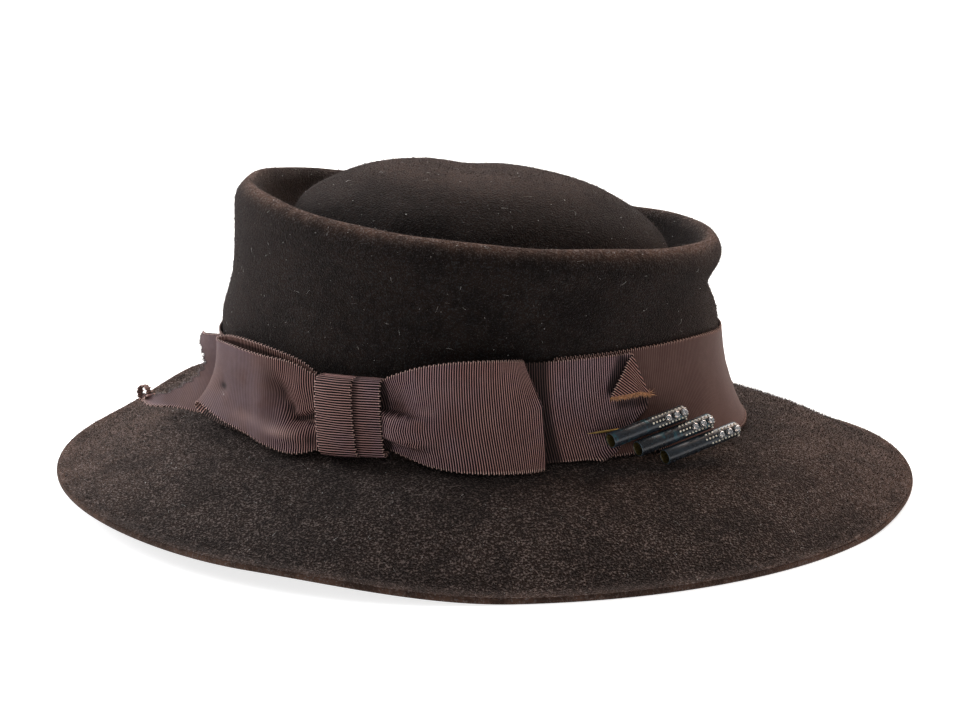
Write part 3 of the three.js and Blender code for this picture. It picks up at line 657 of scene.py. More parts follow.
cut_place = np.interp(flat_place[..., 1], LAP_CUT[:, 1], LAP_CUT[:, 0])
from_cut = np.maximum(cut_place - flat_place[..., 0], 0)
corner = bell(flat_place[..., 1] - 30, 4)
curl = bell(from_cut, 2.6) * (2.0 * corner + 1.0 * (past_fold == 0))
folded_angle = np.interp(folded[..., 0], lap_place, lap_angle)
lap_rise = LAP_RISE * smooth_step((folded_angle - LAP_STEP[0]) / LAP_STEP[1])
folded_across = (folded[..., 1] - LAP_FOOT) / (LAP_TOP - LAP_FOOT)
lap_centre = band_point(folded_angle, folded_across, lap_rise + fold_lift + curl)
lap_across = (lap_height - LAP_FOOT) / (LAP_TOP - LAP_FOOT)
# Painted shadow on the lap through its shade: a dark gap beside the turned flap's left edge, a band below its
# frayed edge, a strip along the slanted cut, and a strip beside the rear loop's fold.
flap_edge = unit(np.array([-10.7, -13.7]))
from_apex = flat_place - FOLD_TOP
along_flap = from_apex @ flap_edge
beside_flap = from_apex @ np.array([flap_edge[1], -flap_edge[0]])
gap_width = np.clip(5.2 - 0.22 * along_flap, 1.2, 5.2)
in_gap = smooth_step(along_flap / 3) * smooth_step((18 - along_flap) / 3)
beside_flap = np.exp(-((beside_flap / gap_width) ** 4)) * in_gap
below_flap = bell(flat_place[..., 1] - 47.0, 2.2) * smooth_step((flat_place[..., 0] + 10) / 4)
at_cut = bell(from_cut, 1.2)
beside_loop = 1 - smooth_step((lap_angle[:, None] + 74.8) / 2.6)
lap_shade = np.maximum(np.maximum(0.9 * beside_flap, 0.8 * below_flap), 0.55 * at_cut) * (past_fold == 0)
lap_shade = -np.maximum(lap_shade, 0.95 * beside_loop)
band_end = ribbon_piece(
    "ribbon_band_end", "hat_band", lap_centre, lap_run[:, None], lap_across, shade=lap_shade, scallop=(0, 1)
)


def strands(roots, direction, lift, length, radius, bend, stations=5):
    """Thin three-sided threads, one joined mesh. Each follows a parabola: length t along its direction,
    bend t² sideways and an arch of lift t (1 - t) outwards, and thins to its tip."""
    t = np.linspace(0, 1, stations)[None, :, None]
    sideways = unit(np.cross(direction, lift))
    line = roots[:, None] + direction[:, None] * length[:, None, None] * t
    line = line + sideways[:, None] * bend[:, None, None] * t * t + lift[:, None] * 4 * t * (1 - t)
    angle = np.arange(3) * 2 * np.pi / 3
    ring = sideways[:, None, None] * np.cos(angle)[:, None]
    ring = ring + unit(lift)[:, None, None] * np.sin(angle)[:, None]
    points = line[:, :, None] + ring * radius[:, None, None, None] * (1.15 - t[..., None])
    offsets = np.arange(len(roots))[:, None, None] * stations * 3
    faces = [(group[None] + offsets).reshape(-1, group.shape[1]) for group in capped(points[0])]
    return points.reshape(-1, 3), faces


def capped(rings):
    """Faces of a stack of rings whose first and last ring are closed by one flat face each."""
    rows, sides = rings.shape[:2]
    start, end = np.arange(sides)[::-1][None], (rows - 1) * sides + np.arange(sides)[None]
    return [ring_faces(rows, sides), start, end]


def frayed_edge(name, node, edge, inside, along, lift, count, length, radius, material):
    """Loose threads in tufts at random places of a raw edge. Each leaves the cloth away from the row inside
    the edge, turned by a random share along the edge and lifted by a random share."""
    tufts = random.integers(0, len(edge), max(count // 14, 1))
    chosen = np.clip(random.choice(tufts, count) + random.integers(-3, 4, count), 0, len(edge) - 1)
    spread = random.normal(size=(count, 2))
    outwards = unit(edge - inside)[chosen]
    aside, raised = 0.7 * spread[:, :1] * along[chosen], 0.35 * np.abs(spread[:, 1:]) * lift[chosen]
    direction = unit(outwards + aside + raised)
    points, faces = strands(
        edge[chosen] - 0.45 * outwards, direction, 0.15 * lift[chosen], random.uniform(*length, count),
        random.uniform(*radius, count), random.normal(0, 0.35, count),
    )
    piece = make_piece(name, points, faces, material, "ribbon")
    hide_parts(node)
    return piece


fray_material = mottled_material(
    "frayed_weft", 700.0, 0.6, (0.13, 0.050, 0.020), (0.72, 0.36, 0.16), roughness=0.8, sheen_weight=0.2
)
lap_along = unit(np.gradient(lap_centre, axis=0))[:, 0]
lap_out = unit(np.stack([lap_centre[:, 0, 0], lap_centre[:, 0, 1] * 1.6, 0 * lap_place], axis=-1))
turned = lap_place > 6.4
lap_fray = frayed_edge(
    "lap_fray", "hat_band", lap_centre[turned, 0], lap_centre[turned, 1],
    lap_along[turned], lap_out[turned], 950, (0.9, 2.3), (0.12, 0.22), fray_material,
)
# A few long threads hang together from the end of the turned edge, past the fold.
LOOSE_THREADS = 26
loose_root = lap_centre[np.argmin(np.abs(lap_place - 6.6)), 0]
loose_way = unit(np.array([0.62, 0.42, 0.10]) + 0.22 * random.normal(size=(LOOSE_THREADS, 3)))
points, faces = strands(
    loose_root - 0.8 * loose_way, loose_way, np.tile([0.1, -0.25, 0.1], (LOOSE_THREADS, 1)),
    random.uniform(2.0, 5.2, LOOSE_THREADS), random.uniform(0.09, 0.17, LOOSE_THREADS),
    random.normal(0, 0.5, LOOSE_THREADS),
)
lap_threads = make_piece("lap_threads", points, faces, fray_material, "ribbon")
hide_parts("hat_band")


# Bow
# Two flat loops of the same ribbon, each led from the knot out to a soft fold and back, with its edges drawn
# together into a rolled gather under the knot.
# angle round the crown, distance from the felt, low edge, high edge, depth of the gather, flare of the foot
REAR_LOOP = [
    (-112, 3.7, 38.5, 53.5, 0, 0),
    (-104, 3.5, 31.5, 61.8, 0, 0),
    (-95, 3.6, 30.3, 65, 0, 0),
    (-86, 4, 29.8, 66, 0, 0),
    (-80, 4.3, 29.4, 66.2, 0, 1.1),
    (-75.5, 6, 29, 66.4, 0, 2.3),
    (-79, 7.7, 28.6, 66.8, 0, 1.1),
    (-86, 9.3, 28.7, 67.4, 0, 0),
    (-93, 10.8, 29.3, 67.2, 0.3, 0),
    (-99.5, 9.6, 30.6, 65.2, 0.6, 0),
    (-104.3, 7.8, 32.8, 62.4, 0.4, 0),
    (-108.5, 6.3, 35, 59, 0.2, 0),
    (-112, 5.8, 38, 54, 0, 0),
]
FRONT_LOOP = [
    (-119, 4.4, 38, 53, 0, 0),
    (-127.5, 4, 32.5, 62, 0, 0),
    (-138, 4.1, 31.5, 65.4, 0, 0),
    (-148, 4.3, 32, 66.2, 0, 2),
    (-155, 4.5, 32.5, 65.4, 0, 6),
    (-158.5, 6.3, 34.4, 63.9, 0, 8.8),
    (-155.5, 8.1, 38.2, 64, 0, 6.5),
    (-149.5, 9, 36.2, 64.5, 0, 2.5),
    (-142, 9.4, 34.2, 64.3, -0.3, 0),
    (-135.5, 9.3, 32, 64, -0.9, 0),
    (-129, 7.6, 30.5, 63, -1.2, 0),
    (-123.5, 6.3, 32.6, 59.4, -0.8, 0),
    (-119, 6.2, 36.5, 56, -0.3, 0),
]
GATHER_CENTRE = 0.45
KNOT_MIDDLE, KNOT_HALF = -115.1, 6.7
FLARE_OUT = 0.5
LOOP_ROWS = 36


def loop_piece(name, node, stations, facing, pull, smooth_from, slants, folds, pleats, shades):
    """A loop read smoothly along its stations. Each row across lies between the low and the high edge, the
    gather adds a cosine across, the flare swings the foot by (1 - across)^2.5, and pull slants the upper
    half of the turn. A fold or a shade is (angle, height, amount, spread in degrees, spread in height), a
    bell on the outer layer, the second half of the loop; a shade is painted shade where negative and painted
    highlight where positive. A pleat is (angle, height, slope, amount, softness, spread, shade above, shade
    below), a step of tanh form along a line across the ribs, with painted shade and highlight that fade
    from it. Slants turn the ribs near the knot: heights and degrees at them. The outer layer stays under the
    knot, its ribs even out past the angle smooth_from, and the inside of the loop is darkened by painted
    shade."""
    def middle(share):
        angle, standoff, low, high, _, _ = smooth_rows(stations, share).T
        return beside_crown(angle, (low + high) / 2, standoff)

    share, run = even_run(middle, RIB_PITCH / STEPS_A_RIB)
    angle, standoff, low, high, gather, flare = smooth_rows(stations, share).T[..., None]
    rows = ribbon_rows(LOOP_ROWS)
    height = low + rows * (high - low)
    swing = flare * (1 - rows) ** 2.5
    outer_layer = smooth_step((share[:, None] - 0.36) / 0.08)
    from_knot = np.abs(angle - KNOT_MIDDLE) - KNOT_HALF
    angle = angle + outer_layer * np.interp(height, *slants) * bell(from_knot, 7)
    drawn_back = pull * bell(share[:, None] - 0.42, 0.09) * np.clip((rows - 0.55) / 0.45, 0, 1)

    def spots(places):
        total = np.zeros_like(height)
        for at_angle, at_height, amount, turn_spread, height_spread in places:
            near = ((angle - at_angle) / turn_spread) ** 2 + ((height - at_height) / height_spread) ** 2
            total += outer_layer * amount * np.exp(-near)
        return total

    lift, shade = 0, 0
    for at_angle, at_height, slope, amount, softness, spread, above, below in pleats:
        depth = at_height + slope * (angle - at_angle) - height
        near = outer_layer * bell(angle - at_angle, spread)
        lift = lift + near * amount * np.tanh(depth / softness)
        shade = shade + near * np.where(depth > 0, below, above) * np.exp(-np.abs(depth) / 1.5)
    lift = lift + standoff + gather * np.cos(2 * np.pi * (rows - GATHER_CENTRE))
    lift = lift + FLARE_OUT * swing + spots(folds)
    knot_limit = 8.6 + 1.3 * np.maximum(np.abs(angle - KNOT_MIDDLE) - KNOT_HALF, 0)
    lift = knot_limit - np.log1p(np.exp(3 * (knot_limit - lift))) / 3
    centre = beside_crown(angle - swing - drawn_back, height, lift)
    evened = 0.85 * outer_layer * smooth_step((smooth_from - angle) / 5)
    shade = shade + spots(shades) - 0.8 * (share[:, None] < 0.36) * (rows < 0.965)
    shade = np.clip(shade, -1, 1)
    piece = ribbon_piece(name, node, centre, run[:, None], rows, facing, shade, evened=evened)
    return centre


# In each loop's last list, dark spots are painted shade in hollows, pinches and under rolls, and pale ones
# are painted highlight on rolls, ledges and the front loop's fold edge.
REAR_SLANTS = ((31, 38.2, 39.5, 43.5, 47.5, 49, 60), (1.6, 0.2, 1.0, 0.6, 1.5, 2.3, 0))
loop_piece("bow_rear_loop", "bow_loop_rear", REAR_LOOP, -1, 3.9, -360, REAR_SLANTS, [
    (-106.6, 54.0, -1.6, 3.6, 4.0),
    (-106.5, 36.0, -1.2, 3.4, 1.6),
    (-97.0, 52.5, -0.6, 4.5, 3.0),
], [
    (-105.5, 47.8, -0.2, 2.5, 0.6, 6.0, -0.95, 0.25),
    (-105.5, 38.7, -0.4, -2.2, 0.6, 6.0, -0.25, -1.00),
], [
    (-108.6, 53.8, -2.4, 1.0, 5.0),
    (-108.3, 36.8, -2.2, 1.2, 2.2),
    (-99.5, 37.6, -0.4, 2.4, 1.2),
    (-99.6, 49.0, 0.22, 2.4, 1.8),
    (-106.0, 50.8, -0.45, 3.0, 1.6),
    (-94.5, 55.0, 0.10, 6.0, 7.0),
    (-104.0, 33.6, -0.25, 4.0, 1.8),
])
loop_piece("bow_front_loop", "bow_loop_front", FRONT_LOOP, 1, 0.0, -130.5, ((30, 65), (0, 0)), [
    (-128.6, 42.0, -2.0, 1.8, 1.8),
    (-130.0, 36.8, 2.0, 5.5, 2.8),
    (-132.6, 51.0, -2.2, 2.2, 5.0),
    (-130.4, 45.6, -2.2, 1.8, 3.4),
    (-126.8, 54.5, 0.9, 2.4, 5.0),
    (-137.5, 47.0, 0.9, 2.8, 6.0),
    (-150.9, 47.5, -0.8, 2.2, 3.0),
], [
    (-125.5, 45.4, 0.75, -1.1, 0.7, 3.4, 0.25, -0.85),
    (-126.0, 40.6, -0.2, 0.9, 0.8, 3.4, -0.85, 0.25),
], [
    (-158.3, 57.5, 0.9, 0.5, 8.0),
    (-150.9, 48.2, -0.8, 1.3, 1.4),
    (-132.2, 50.6, -0.50, 1.7, 4.6),
    (-130.2, 45.4, -0.70, 1.4, 2.8),
    (-128.4, 42.0, -0.80, 1.3, 1.5),
    (-131.5, 37.4, 0.34, 5.0, 2.3),
    (-142.0, 40.0, 0.24, 7.0, 3.4),
    (-146.0, 53.0, -0.22, 9.0, 9.0),
    (-134.5, 56.0, -0.36, 3.4, 6.0),
    (-122.3, 43.0, -0.9, 1.2, 7.0),
    (-124.8, 36.0, -0.65, 2.0, 3.0),
])

# Two stitches cross where the loop is tacked to the tail behind it.
stitch_at = beside_crown(np.array([-151.9, -150.6]), np.array([44.2, 44.4]), np.array([9.0, 9.0]))
stitch_end = beside_crown(np.array([-150.5, -151.9]), np.array([46.0, 46.2]), np.array([9.0, 9.0]))
stitch_way = unit(stitch_end - stitch_at)
stitch_out = np.tile(unit(np.array([-0.75, -0.65, 0.0])), (2, 1))
points, faces = strands(
    stitch_at + 0.25 * stitch_out, stitch_way, 0.25 * stitch_out,
    np.full(2, 2.6), np.full(2, 0.16), np.zeros(2),
)
tack_material = mottled_material(
    "tacking_thread", 900.0, 0.5, (0.10, 0.075, 0.07), (0.26, 0.21, 0.20), roughness=0.7, sheen_weight=0.2
)
tack = make_piece("bow_tack", points, faces, tack_material, "ribbon")
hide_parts("bow_loop_front")


# Knot
# The middle of the bow is bound by the ribbon's own end, wrapped over twice and sewn at the back, so a second
# selvedge shows beside the first. Its ribs run across the bow.
KNOT_LEFT, KNOT_RIGHT, KNOT_FOLD = -121.8, -108.4, -114.0
# distance from the felt, height
KNOT_SECTION = [
    (2.7, 58.2),
    (5.6, 59.4),
    (8.8, 58.3),
    (9.9, 53.6),
    (10.1, 45.5),
    (9.8, 37),
    (8.8, 33.2),
    (6.4, 32),
    (3.9, 32.8),
]
KNOT_ROWS = 18
KNOT_TILT = 0.05


def knot_piece(name, left, right, layer, lean):
    """One layer of the knot: its length follows the section over and under the bow, its width goes round
    the crown between two angles, and lean slants its edges."""
    def middle(share):
        standoff, height = smooth_rows(KNOT_SECTION, share).T
        return beside_crown((left + right) / 2, height, standoff + layer)

    share, run = even_run(middle, RIB_PITCH / STEPS_A_RIB)
    standoff, height = smooth_rows(KNOT_SECTION, share).T[..., None]
    rows = ribbon_rows(KNOT_ROWS)
    angle = left + rows * (right - left) + lean * (45 - height) / 13
    height = height + KNOT_TILT * (angle - KNOT_LEFT) * smooth_step((45 - height) / 12)
    swell = 0.35 * np.sin(np.pi * rows) + 0.14 * np.sin(0.9 * height + 7 * rows)
    on_face = smooth_step((standoff - 5) / 3)
    centre = beside_crown(angle, height, standoff + on_face * (layer + swell))
    # Beside the over layer's fold, the under layer gets a stripe of painted shadow.
    beside_layer = 0 if layer else -1.0 * bell(angle - KNOT_FOLD - 0.45, 0.5)
    piece = ribbon_piece(name, "bow_knot", centre, run[:, None], rows, shade=beside_layer, scallop=(1.3, 1.3))


knot_piece("bow_knot_under", KNOT_LEFT + 0.6, KNOT_RIGHT, 0.0, 0.02)
knot_piece("bow_knot_over", KNOT_LEFT, KNOT_FOLD, 1.45, 0.3)


# Tail
# The ribbon's free end behind the front loop, cut to a swallowtail with pinking shears. It stands off the
# brim, and the point of its lower prong has curled up.
# angle round the crown, distance from the felt, height
TAIL_LOW_EDGE = [
    (-150, 2.85, 32.8),
    (-158, 2.9, 32.6),
    (-164, 3.4, 32.2),
    (-169, 8.5, 31.4),
    (-175, 16.5, 31),
    (-180, 25.5, 29.6),
    (-184.5, 33, 31.5),
]
TAIL_HIGH_EDGE = [
    (-150, 2.75, 64),
    (-158, 2.8, 63.6),
    (-164, 3.3, 62.8),
    (-168.5, 5.6, 61.8),
    (-172, 7, 60.8),
    (-174.2, 7.3, 60.4),
    (-176, 7.6, 60),
]
# share of the tail's length at which the fork cuts each row, from its foot to its top
TAIL_ENDS = [1, 0.875, 0.757, 0.655, 0.585, 0.555, 0.61, 0.74, 1]
PINKING_TEETH, PINKING_DEPTH = 11, 0.045
TAIL_ROWS = 44


def tail_point(reach, across):
    """Points of the tail's flat cloth: its low and high edge at that reach, with straight ribs between."""
    low, high = smooth_rows(TAIL_LOW_EDGE, reach), smooth_rows(TAIL_HIGH_EDGE, reach)
    angle, standoff, height = np.moveaxis(low + across[..., None] * (high - low), -1, 0)
    return beside_crown(angle, height, standoff)


def tail_line(share):
    return tail_point(share, np.full(len(share), 0.25))


tail_share, tail_run = even_run(tail_line, RIB_PITCH / STEPS_A_RIB)
tail_across = ribbon_rows(TAIL_ROWS)
tail_ends = smooth_rows(np.array(TAIL_ENDS)[:, None], tail_across)[:, 0]
teeth = np.abs((tail_across * PINKING_TEETH) % 1 - 0.5) * 2
tail_reach = tail_share[:, None] * (tail_ends - PINKING_DEPTH * teeth)
tail_centre = tail_point(tail_reach, np.broadcast_to(tail_across, tail_reach.shape))
from_end = (1 - tail_share[:, None]) * tail_ends * tail_run[-1]
# The tail's shade: paler overall, a painted light that matches its tone to the loop's, darker over the upper
# prong, and darker still close to the pinked cut.
tail_shade = 0.12 - 0.36 * smooth_step((tail_across - 0.4) / 0.3) - 0.6 * bell(from_end, 0.9)
tail = ribbon_piece(
    "bow_tail_ribbon", "bow_tail", tail_centre, tail_reach * tail_run[-1], tail_across, -1,
    tail_shade, 0.1, evened=0.85,
)
tail_fray_material = mottled_material(
    "frayed_tail", 700.0, 0.6, (0.016, 0.010, 0.010), (0.14, 0.082, 0.080), roughness=0.8, sheen_weight=0.2
)
tail_out = unit(np.stack([tail_centre[-1, :, 0], 1.6 * tail_centre[-1, :, 1], 0 * tail_across], axis=-1))
tail_along = unit(np.gradient(tail_centre[-1], axis=0))
tail_fray = frayed_edge(
    "tail_fray", "bow_tail", tail_centre[-1], tail_centre[-2], tail_along, tail_out,
    900, (0.5, 2.1), (0.08, 0.16), tail_fray_material,
)

# The point of the lower prong curls up into a ring, with its selvedge outwards.
CURL_RADIUS, CURL_TURN, CURL_WIDTH, CURL_START = 3.1, 5.6, 2.8, 4.0
curl_run = np.arange(0, CURL_RADIUS * CURL_TURN + CURL_START, RIB_PITCH / STEPS_A_RIB)
curl_way = unit(np.array([-0.70, 0.68, -0.05]))
curl_up = unit(np.array([0, 0, 1.0]) - curl_way[2] * curl_way)
curl_axis = np.cross(curl_up, curl_way)
curl_bend = np.maximum(curl_run - CURL_START, 0) / CURL_RADIUS
curl_radius = CURL_RADIUS * (1 - 0.03 * curl_bend)
curl_reach = np.minimum(curl_run, CURL_START) - 2.6 + curl_radius * np.sin(curl_bend)
curl_line = tail_centre[-1, 3] + curl_reach[:, None] * curl_way
curl_rise = curl_radius * (1 - np.cos(curl_bend)) - 2.4 * smooth_step(curl_run / CURL_START)
curl_line = curl_line + curl_rise[:, None] * curl_up
curl_across = ribbon_rows(6)
curl_width = CURL_WIDTH * (1 - 0.5 * curl_run / curl_run[-1])
curl_centre = curl_line[:, None] + (curl_width[:, None] * (curl_across - 0.3))[..., None] * curl_axis
tail_curl = ribbon_piece(
    "bow_tail_curl", "bow_tail", curl_centre, curl_run[:, None], curl_across, shade=0.2,
    rib_height=0.08, scallop=(2.0, 1.4), evened=0.5
)


# Ornament tubes
# Three short metal tubes, lacquered blue-black outside and left brassy inside, set side by side in steps on
# a pin. Each closed end carries three cut stones in seats and rows of bright studs.
TUBE_LENGTH, TUBE_RADIUS, TUBE_BORE, TUBE_BORE_DEPTH = 34, 2.9, 2.3, 14
TUBE_PITCH, TUBE_SHIFT = 6.3, 9.1
TUBE_MIDDLE = np.array([58.5, -71.1, 39.8])
TUBE_AXIS = unit(np.array([0.815, 0.56, 0.15]))
TUBE_FACE = np.array([0.449, -0.786, 0.424])
TUBE_STEP = np.array([0.26, -0.43, -0.86])
tube_face = unit(TUBE_FACE - (TUBE_FACE @ TUBE_AXIS) * TUBE_AXIS)
tube_step = unit(TUBE_STEP - (TUBE_STEP @ TUBE_AXIS) * TUBE_AXIS)
tube_frame = np.stack([np.cross(TUBE_AXIS, tube_face), TUBE_AXIS, tube_face])
TUBE_SIDES = 48

# radius and place along the tube, from the bottom of the bore out to the mouth and on to the closed end
TUBE_PROFILE = np.array([
    (0.02, TUBE_BORE_DEPTH), (1.6, TUBE_BORE_DEPTH), (TUBE_BORE - 0.1, TUBE_BORE_DEPTH - 0.2),
    (TUBE_BORE, TUBE_BORE_DEPTH - 0.8), (TUBE_BORE, 7), (TUBE_BORE, 0.5), (TUBE_BORE + 0.1, 0.15),
    (TUBE_BORE + 0.3, 0), (TUBE_RADIUS - 0.12, 0.08), (TUBE_RADIUS, 0.3), (TUBE_RADIUS, 8), (TUBE_RADIUS, 16),
    (TUBE_RADIUS, 26), (TUBE_RADIUS, 33), (TUBE_RADIUS - 0.15, 33.5), (TUBE_RADIUS - 0.6, 33.9),
    (TUBE_RADIUS - 1.2, TUBE_LENGTH), (0.02, TUBE_LENGTH),
])
# rows of the profile: inside the bore, and the lip of the mouth
BORE_ROWS, LIP_ROWS = 7, 2

tube_material, tube_tree, tube_shader = new_material(
    "blue_black_lacquer", metallic=0.3, specular_ior_level=0.4, coat_weight=0.25, coat_roughness=0.22,
)
inside, at_rim = (read_attribute(tube_tree, label) for label in ("inside", "rim"))
lacquer_patches = add_mottle(tube_tree, 160.0, 0.4)
lacquer = mix_colour(tube_tree, lacquer_patches, (0.016, 0.018, 0.022), (0.020, 0.030, 0.042))
# Rare teal patches are a painted glint on the lacquer, and the lip round the mouth is paler as a painted
# highlight.
sheen_patches = add_range(tube_tree, add_mottle(tube_tree, 75.0, 0.3), 0.72, 1.0, 0.0, 0.7)
lacquer = mix_colour(tube_tree, sheen_patches, lacquer, (0.012, 0.085, 0.110))
lacquer = mix_colour(tube_tree, at_rim, lacquer, (0.055, 0.080, 0.100))
tube_colour = mix_colour(tube_tree, inside, lacquer, (0.062, 0.047, 0.014))
tube_tree.links.new(tube_colour, tube_shader.inputs["Base Color"])
lacquer_roughness = add_range(tube_tree, lacquer_patches, 0.0, 1.0, 0.26, 0.40)
tube_tree.links.new(lacquer_roughness, tube_shader.inputs["Roughness"])


def lathe(profile, sides):
    """Rings round the local Y axis, one for each (radius, place) row of the profile."""
    angle = np.arange(sides) * 2 * np.pi / sides
    radius, along = profile[:, 0, None], profile[:, 1, None]
    return np.stack(np.broadcast_arrays(radius * np.sin(angle), along, radius * np.cos(angle)), axis=-1)


tube_origins = [
    TUBE_MIDDLE + TUBE_AXIS * (number * TUBE_SHIFT - TUBE_LENGTH / 2) + tube_step * number * TUBE_PITCH
    for number in range(3)
]
tube_rings = lathe(TUBE_PROFILE, TUBE_SIDES)
profile_row = np.repeat(np.arange(len(TUBE_PROFILE)), TUBE_SIDES)
in_bore = profile_row < BORE_ROWS
on_lip = ~in_bore & (profile_row < BORE_ROWS + LIP_ROWS)
for number, origin in enumerate(tube_origins, start=1):
    points = tube_rings.reshape(-1, 3) @ tube_frame + origin
    tube = make_piece(
        f"tube_{number}", points, capped(tube_rings), tube_material, "gunmetal", inside=in_bore, rim=on_lip
    )
    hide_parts(f"ornament_tube_{number}")


# Studs of the ornament
# Small pearly beads pressed into the tubes: rows along the stones and a ring round the closed end.
STUD_RADIUS = 0.40
# start along the tube, count, spacing, turn from the row of stones in degrees
STUD_ROWS = [
    (18.9, 10, 1.5, -44),
    (18.0, 4, 1.5, -4),
    (20.4, 9, 1.5, 36),
    (32.9, 1, 1, 62),
    (33.3, 1, 1, 20),
    (33.3, 1, 1, -22),
]

stud_material = mottled_material(
    "pearly_studs", 600.0, 0.5, (0.64, 0.58, 0.45), (0.95, 0.91, 0.79), (0.16, 0.30), specular_ior_level=0.6
)
STUD_PROFILE = np.array([(0.9, -0.5), (1.0, 0.0), (0.82, 0.52), (0.42, 0.86), (0.02, 0.98)]) * STUD_RADIUS
stud_rings = lathe(STUD_PROFILE, 8)[..., [0, 2, 1]][:, ::-1]
stud_places = np.array([
    (start + step * spacing, turn) for start, count, spacing, turn in STUD_ROWS for step in range(count)
])


def copies(rings, places, frames):
    """One joined mesh of many like bodies: each copy is turned by its frame and moved to its place."""
    shape = rings.reshape(-1, 3)
    points = np.einsum("vi,nij->nvj", shape, frames) + places[:, None]
    offsets = np.arange(len(places)) * len(shape)
    faces = [(group[None] + offsets[:, None, None]).reshape(-1, group.shape[1]) for group in capped(rings)]
    return points.reshape(-1, 3), faces


def round_tube(along, turn, radius, origin):
    """Places on a tube at a distance along it and a turn in degrees, with frames that face outwards."""
    angle = np.radians(turn)
    zero = np.zeros_like(angle)
    across = np.stack([np.cos(angle), zero, -np.sin(angle)], axis=-1) @ tube_frame
    out = np.stack([np.sin(angle), zero, np.cos(angle)], axis=-1) @ tube_frame
    frames = np.stack([across, np.broadcast_to(TUBE_AXIS, out.shape), out], axis=1)
    return origin + along[:, None] * TUBE_AXIS + radius * out, frames


for number, origin in enumerate(tube_origins, start=1):
    places, frames = round_tube(stud_places[:, 0], stud_places[:, 1], TUBE_RADIUS, origin)
    points, faces = copies(stud_rings, places, frames)
    studs = make_piece(f"tube_{number}_studs", points, faces, stud_material, "gunmetal")
    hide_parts(f"ornament_tube_{number}")


# Stones
# Round cut stones of clear glass with eight main facets and a flat table, each in a cup of bright foil.
STONE_RADIUS, STONE_HEIGHT, STONE_GIRDLE, STONE_TABLE = 1.15, 1.1, 0.45, 0.58
STONE_PLACES = np.array([24.6, 28.4, 32.0])
SEAT_RISE, STONE_CLEARANCE = 0.15, 0.3

stone_material = mottled_material(
    "clear_stone", 900.0, 0.3, (0.86, 0.88, 0.90), (0.98, 0.98, 1.0),
    metallic=0.0, roughness=0.02, ior=1.6, transmission_weight=0.85, coat_weight=0.3,
)
foil_material = mottled_material(
    "silver_foil", 900.0, 0.4, (0.10, 0.10, 0.10), (0.34, 0.34, 0.34), (0.12, 0.3), metallic=1.0
)

STONE_PROFILE = np.array([
    (STONE_RADIUS * 0.5, 0.0), (STONE_RADIUS, STONE_GIRDLE - 0.06), (STONE_RADIUS, STONE_GIRDLE + 0.06),
    (STONE_RADIUS * 0.84, 0.82), (STONE_RADIUS * STONE_TABLE, STONE_HEIGHT),
])
stone_rings = lathe(STONE_PROFILE, 8)[..., [0, 2, 1]][:, ::-1]
# The upper break facets stand between the main ones, so that row is turned by half a facet.
facet_cos, facet_sin = np.cos(np.pi / 8), np.sin(np.pi / 8)
upper_turn = np.array([[facet_cos, facet_sin], [-facet_sin, facet_cos]])
stone_rings[3, :, :2] = stone_rings[3, :, :2] @ upper_turn
CUP_PROFILE = np.array([
    (1.0, -0.45), (1.5, -0.3), (1.55, 0.25), (1.42, 0.5),
    (1.3, 0.5), (1.22, 0.28), (0.7, -0.1), (0.05, -0.12),
])
cup_rings = lathe(CUP_PROFILE, 20)[..., [0, 2, 1]][:, ::-1]
for number, origin in enumerate(tube_origins, start=1):
    for index, along in enumerate(STONE_PLACES, start=1):
        height = TUBE_RADIUS + SEAT_RISE + STONE_CLEARANCE
        places, frames = round_tube(np.array([along]), np.array([0.0]), height, origin)
        points, faces = copies(stone_rings, places, frames)
        stone = make_piece(f"cut_stone_{number}_{index}", points, faces, stone_material, "stone")
        stone.data.polygons.foreach_set("use_smooth", np.zeros(len(stone.data.polygons), bool))
        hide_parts(f"stone_{number}_{index}")
    places, frames = round_tube(STONE_PLACES, 0 * STONE_PLACES, TUBE_RADIUS + SEAT_RISE, origin)
    points, faces = copies(cup_rings, places, frames)
    cups = make_piece(f"tube_{number}_cups", points, faces, foil_material, "gunmetal")
    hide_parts(f"ornament_tube_{number}")


# Pin
# The brass pin that fastens the ornament, with its bare point showing beyond the first tube's mouth.
PIN_RADIUS = 0.5
PIN_TIP = beside_crown(np.array(-67.0), np.array(39.0), np.array(4.9))
PIN_END = beside_crown(np.array(-50.0), np.array(38.6), np.array(4.8))
pin_axis = unit(PIN_END - PIN_TIP)
pin_length = np.linalg.norm(PIN_END - PIN_TIP)
PIN_PROFILE = np.array([
    (0.03, 0), (0.14, 0.8), (0.28, 2.6), (0.42, 5), (PIN_RADIUS, 8), (PIN_RADIUS, pin_length),
])

pin_material = mottled_material(
    "aged_brass", 500.0, 0.5, (0.30, 0.19, 0.05), (0.56, 0.40, 0.14), (0.28, 0.5), metallic=1.0
)
pin_side = unit(np.cross(pin_axis, [0, 0, 1]))
pin_frame = np.stack([pin_side, pin_axis, np.cross(pin_side, pin_axis)])
pin_rings = lathe(PIN_PROFILE, 14)
pin_points = pin_rings.reshape(-1, 3) @ pin_frame + PIN_TIP
pin = make_piece("pin_shaft", pin_points, capped(pin_rings), pin_material, "pin_brass")
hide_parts("ornament_pin")


